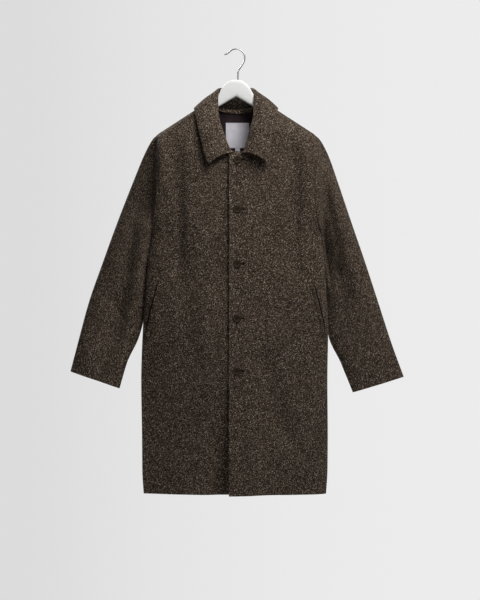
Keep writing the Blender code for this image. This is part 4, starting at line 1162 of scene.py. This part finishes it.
def woven_tweed(name, pale):
    """Salt-and-pepper wool tweed, woven from marled yarns and left unpressed: a dark brown ground that is
    broken by beige and grey flecks, with a dry, slightly hairy face that takes no gloss. Where pale is above
    one, the whole colour is made paler as painted light, for cloth that lies in shade."""
    material, tree, shader = finish_of(name)
    flat = node(tree, "UVMap", uv_map="cut").outputs["UV"]
    drift = node(tree, "TexNoise", {"Vector": flat, "Scale": PER_MM / WAVER, "Detail": 2.0})
    reach = WAVER_REACH * MM
    waver = node(tree, "VectorMath", {0: drift.outputs["Color"], 1: (reach, reach, 0.0)},
                 operation="MULTIPLY")
    cut = node(tree, "VectorMath", {0: flat, 1: waver.outputs["Vector"]}).outputs["Vector"]
    turned = node(tree, "Mapping", {"Vector": cut, "Rotation": (0, 0, math.pi / 2)}).outputs["Vector"]
    yarn = {"Scale": PER_MM, "Color1": (0, 0, 0, 1), "Color2": (1, 1, 1, 1), "Mortar": (0.1, 0.1, 0.1, 1),
            "Brick Width": 2 * YARN, "Row Height": YARN, "Mortar Size": 0.06, "Mortar Smooth": 1.0}
    weft = node(tree, "TexBrick", {"Vector": cut, **yarn})
    warp = node(tree, "TexBrick", {"Vector": turned, **yarn})
    over = node(tree, "TexChecker", {"Vector": cut, "Scale": PER_MM / (2 * YARN)})
    shown = node(tree, "Mix", {"Factor": over.outputs["Fac"], "A": weft.outputs["Color"],
                               "B": warp.outputs["Color"]}, data_type="RGBA")
    flecks = node(tree, "ValToRGB", {"Fac": shown.outputs[2]}, steps="CONSTANT", stops=(
        (0.0, "#120d0b"), (0.27, "#2c221c"), (0.54, "#43382f"), (0.76, "#655649"), (0.90, "#897d70"),
        (0.965, "#c2b6a4")))
    uneven = node(tree, "TexNoise", {"Vector": cut, "Scale": PER_MM / PATCH, "Detail": 3.0, "Roughness": 0.6})
    # pale scales the colour: above one it is painted light
    shade = node(tree, "MapRange", {"Value": uneven.outputs["Fac"], "From Min": 0.3, "From Max": 0.7,
                                    "To Min": 0.94 * pale, "To Max": 1.06 * pale})
    colour = node(tree, "Mix", {"Factor": 1.0, "A": flecks.outputs["Color"], "B": shade.outputs["Result"]},
                  data_type="RGBA", blend_type="MULTIPLY")
    hair = node(tree, "TexNoise", {"Vector": cut, "Scale": PER_MM / NAP, "Detail": 4.0, "Roughness": 0.7})
    height = node(tree, "Mix", {"Factor": 0.5, "A": hair.outputs["Fac"], "B": shown.outputs[2]},
                  data_type="RGBA")
    bump = node(tree, "Bump", {"Strength": 0.5, "Distance": 0.0006, "Height": height.outputs[2]})
    fill(tree, shader, {"Base Color": colour.outputs[2], "Normal": bump.outputs["Normal"], "Roughness": 0.95,
                        "IOR": 1.45, "Specular IOR Level": 0.15, "Sheen Weight": 0.1, "Sheen Roughness": 0.6,
                        "Sheen Tint": linear("#a89a88")})
    return material


def cast_resin():
    """Resin cast like horn, turned and polished: nearly black, with paler streaks and a soft shine."""
    material, tree, shader = finish_of("cast_horn_resin")
    place = node(tree, "TexCoord").outputs["Object"]
    grain = node(tree, "Mapping", {"Vector": place, "Scale": (0.3, 1.0, 1.0)}).outputs["Vector"]
    streaks = node(tree, "TexNoise", {"Vector": grain, "Scale": PER_MM / 2.5, "Detail": 5.0,
                                      "Distortion": 0.8})
    colour = node(tree, "ValToRGB", {"Fac": streaks.outputs["Fac"]}, stops=(
        (0.35, "#211a13"), (0.55, "#2f261c"), (0.75, "#463827")))
    worn = node(tree, "MapRange", {"Value": streaks.outputs["Fac"], "To Min": 0.5, "To Max": 0.65})
    fill(tree, shader, {"Base Color": colour.outputs["Color"], "Roughness": worn.outputs["Result"],
                        "IOR": 1.54, "Specular IOR Level": 0.14})
    return material


def woven_satin(name, dark, pale, rib, roughness, gloss):
    """Satin woven with its long floats on the face: a smooth, close cloth with a silky shine and faint ribs
    (drawn coarser than they are)."""
    material, tree, shader = finish_of(name)
    cut = node(tree, "UVMap", uv_map="cut").outputs["UV"]
    ribs = node(tree, "TexWave", {"Vector": cut, "Scale": PER_MM / rib / WAVE_BANDS, "Distortion": 0.4},
                bands_direction="Y")
    cloud = node(tree, "TexNoise", {"Vector": cut, "Scale": PER_MM / 18, "Detail": 2.0})
    colour = node(tree, "ValToRGB", {"Fac": cloud.outputs["Fac"]}, stops=((0.3, dark), (0.7, pale)))
    bump = node(tree, "Bump", {"Strength": 0.25, "Distance": 0.0002, "Height": ribs.outputs["Fac"]})
    fill(tree, shader, {"Base Color": colour.outputs["Color"], "Normal": bump.outputs["Normal"],
                        "Roughness": roughness, "Specular IOR Level": gloss})
    return material


def painted_beech():
    """Beech, sanded and sprayed white: an even satin paint with a faint ripple and a little of the grain."""
    material, tree, shader = finish_of("painted_beech")
    place = node(tree, "TexCoord").outputs["Object"]
    along = node(tree, "Mapping", {"Vector": place, "Scale": (0.08, 1.0, 1.0)}).outputs["Vector"]
    grain = node(tree, "TexNoise", {"Vector": along, "Scale": PER_MM / 3, "Detail": 4.0})
    ripple = node(tree, "TexNoise", {"Vector": place, "Scale": PER_MM / 6, "Detail": 1.0})
    colour = node(tree, "ValToRGB", {"Fac": grain.outputs["Fac"]}, stops=(
        (0.3, "#dcdedd"), (0.7, "#e3e5e5")))
    height = node(tree, "Mix", {"Factor": 0.5, "A": grain.outputs["Fac"], "B": ripple.outputs["Fac"]},
                  data_type="RGBA")
    bump = node(tree, "Bump", {"Strength": 0.2, "Distance": 0.0003, "Height": height.outputs[2]})
    fill(tree, shader, {"Base Color": colour.outputs["Color"], "Normal": bump.outputs["Normal"],
                        "Roughness": 0.5, "IOR": 1.5, "Specular IOR Level": 0.3})
    return material


def plated_wire():
    """Steel wire, drawn and plated: bright metal with a soft shine and faint draw marks."""
    material, tree, shader = finish_of("bright_plated_wire")
    place = node(tree, "TexCoord").outputs["Object"]
    marks = node(tree, "TexNoise", {"Vector": place, "Scale": PER_MM / 0.8, "Detail": 2.0})
    dull = node(tree, "MapRange", {"Value": marks.outputs["Fac"], "To Min": 0.36, "To Max": 0.48})
    fill(tree, shader, {"Base Color": linear("#b4b5b7"), "Roughness": dull.outputs["Result"],
                        "Metallic": 1.0})
    return material


def sewing_thread(name, dark, pale):
    """Spun polyester thread, twisted and dull, with a fine slanting twist (drawn coarser than it is)."""
    material, tree, shader = finish_of(name)
    place = node(tree, "TexCoord").outputs["Object"]
    twist = node(tree, "TexWave", {"Vector": place, "Scale": PER_MM / 0.6 / WAVE_BANDS},
                 bands_direction="DIAGONAL")
    colour = node(tree, "ValToRGB", {"Fac": twist.outputs["Fac"]}, stops=((0.2, dark), (0.8, pale)))
    fill(tree, shader, {"Base Color": colour.outputs["Color"], "Roughness": 0.8, "Specular IOR Level": 0.08})
    return material


def studio_floor():
    """Matt painted board: pale, even and dull."""
    material, tree, shader = finish_of("matt_painted_board")
    place = node(tree, "TexCoord").outputs["Object"]
    cloud = node(tree, "TexNoise", {"Vector": place, "Scale": 3.0, "Detail": 2.0})
    colour = node(tree, "ValToRGB", {"Fac": cloud.outputs["Fac"]}, stops=(
        (0.3, "#dedede"), (0.7, "#e6e6e6")))
    fill(tree, shader, {"Base Color": colour.outputs["Color"], "Roughness": 0.9})
    return material


# Stage

def add_stage():
    """A pale floor under the hanging coat, and a pale surround that is brighter on the key light's side."""
    world = bpy.data.worlds.new("studio")
    world.use_nodes = True
    bpy.context.scene.world = world
    tree = world.node_tree
    way = node(tree, "SeparateXYZ", {"Vector": node(tree, "TexCoord").outputs["Generated"]})
    side = node(tree, "MapRange", {"Value": way.outputs["X"], "From Min": -0.2, "From Max": 0.2})
    bright = node(tree, "ValToRGB", {"Fac": side.outputs["Result"]}, stops=(
        (0.22, "#dcdcdc"), (0.38, "#e4e4e4"), (0.58, "#eaeaea"), (0.78, "#ececec")))
    seen = node(tree, "LightPath").outputs["Is Camera Ray"]
    strength = node(tree, "MapRange", {"Value": seen, "To Min": SURROUND_LIGHT})
    fill(tree, tree.nodes["Background"], {"Color": bright.outputs["Color"],
                                          "Strength": strength.outputs["Result"]})
    turns = round_angles(FLOOR_SIDES)
    ring = np.stack([np.cos(turns), np.sin(turns), np.zeros(FLOOR_SIDES)], axis=-1)
    rings = np.stack([radius * ring for radius in FLOOR_RINGS]) + np.array([0.0, 0.0, FLOOR_Z])
    board = np.concatenate([rings, rings[::-1] - np.array([0.0, 0.0, FLOOR_THICK])])
    floor = add_bars("floor", [board], studio_floor())


def add_light(light):
    """A round soft box that looks at its aim."""
    data = bpy.data.lights.new(light.name, "AREA")
    data.shape = "DISK"
    data.size = light.size
    data.energy = light.power
    data.color = linear(light.colour)[:3]
    obj = bpy.data.objects.new(light.name, data)
    obj.location = Vector(light.place)
    obj.rotation_mode = "QUATERNION"
    obj.rotation_quaternion = (Vector(light.aim) - Vector(light.place)).to_track_quat("-Z", "Y")
    bpy.context.scene.collection.objects.link(obj)


def add_camera():
    """A level camera in front of the coat, as far off as its picture shows."""
    data = bpy.data.cameras.new("camera")
    data.lens = data.sensor_width / 2 * CAMERA_AWAY / VIEW_HALF_HIGH
    obj = bpy.data.objects.new("camera", data)
    obj.location = Vector((CAMERA_X, -CAMERA_AWAY, CAMERA_Z))
    obj.rotation_euler = (math.pi / 2, 0.0, 0.0)
    bpy.context.scene.collection.objects.link(obj)
    bpy.context.scene.camera = obj


def keep(piece, node_name=None):
    """A finished piece rides on the coat and stands for its solid, if it has one."""
    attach(piece, "root")
    if node_name:
        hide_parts(node_name)
    return piece


def main():
    tweed = woven_tweed("woven_wool_tweed", 1.0)
    # The neck tape is the coat's tweed painted 2.4 times paler: painted light for the shaded inside of the
    # nape.
    painted_light_tweed = woven_tweed("woven_tweed_painted_light", 2.4)
    lining_satin = woven_satin("woven_lining_satin", "#261b1e", "#34272b", 0.9, 0.5, 0.2)
    # The pocket satin is near black: painted shade for the pockets' dark openings.
    pocket_shade_satin = woven_satin("woven_satin_painted_shade", "#171011", "#221819", 0.9, 0.8, 0.05)
    label_satin = woven_satin("woven_label_satin", "#dedce6", "#eae8f0", 1.1, 0.45, 0.4)
    dark_thread = sewing_thread("spun_dark_thread", "#0a0706", "#140f0b")
    pale_thread = sewing_thread("spun_pale_thread", "#c4c2cc", "#dcdae2")
    resin = cast_resin()

    left, left_in = front_panel(LEFT)
    right, right_in = front_panel(RIGHT)
    back, back_in = back_panel()
    outer_line, inner_line = neckline(right, back, left), neckline(right_in, back_in, left_in)
    roll, out, edge, edge_way, bulge = collar_stations(outer_line)
    walls = {
        "front_left": (left, left_in),
        "front_right": (right, right_in),
        "back": (back, back_in),
        "sleeve_left": sleeve(LEFT, armhole(LEFT, left, back), armhole(LEFT, left_in, back_in)),
        "sleeve_right": sleeve(RIGHT, armhole(RIGHT, right, back), armhole(RIGHT, right_in, back_in)),
        "collar_stand": collar_stand(outer_line, inner_line, roll, out),
        "collar_fall": collar_fall(roll, out, edge, edge_way, bulge),
    }
    cloth = {}
    for name, (outer, inner) in walls.items():
        cloth[name] = add_wall("tweed_" + name, outer, inner, tweed, closed=name.startswith("sleeve"))
    for hand, side in HANDS:
        cloth[f"pocket_welt_{hand}"] = add_welt(f"tweed_welt_{hand}", side, tweed)
    for name, piece in cloth.items():
        keep(piece, name)
    for number, z in enumerate(BUTTON_ZS, 1):
        keep(add_button(f"horn_button_{number}", z, resin), f"button_{number}")
    holes = keep(add_buttonholes("thread_buttonholes", dark_thread))
    keep(add_button_threads("thread_buttons", dark_thread))
    lining = keep(add_lining("satin_back_lining", back, back_in, lining_satin), "back_lining")
    label_x = LABEL_X + np.linspace(-LABEL_WIDTH / 2, LABEL_WIDTH / 2, LABEL_COLUMNS)
    label = add_inside_sheet("satin_label", label_x, LABEL_HIGH_Z, LABEL_LOW_Z, LABEL_ROWS, label_satin)
    keep(label, "neck_label")
    label_stitches = keep(add_label_stitches("thread_label", pale_thread))
    tab_x = LABEL_X + np.linspace(-TAB_WIDTH / 2, TAB_WIDTH / 2, TAB_COLUMNS)
    tab_top = LABEL_LOW_Z - SEAM_GAP
    tab = add_inside_sheet("satin_tab", tab_x, tab_top, tab_top - TAB_LENGTH, TAB_ROWS, label_satin)
    keep(tab, "size_tab")
    keep(add_hanger("beech_hanger", painted_beech()), "hanger")
    keep(add_hook("wire_hook", plated_wire()), "hanger_hook")

    # The neck tape wears the tweed with painted light.
    neck_edge = keep(add_neck_edge("tweed_neck_tape", outer_line, inner_line, painted_light_tweed))
    for hand, side in HANDS:
        # The mouths are dark sheets of painted shade in the pockets' openings.
        mouth = keep(add_mouth(f"painted_shade_mouth_{hand}", side, pocket_shade_satin))
        stitches = keep(add_welt_stitches(f"thread_welt_{hand}", side, dark_thread))

    add_stage()
    for light in LIGHTS:
        add_light(light)
    add_camera()
    bpy.context.scene.view_settings.view_transform = "Standard"


main()
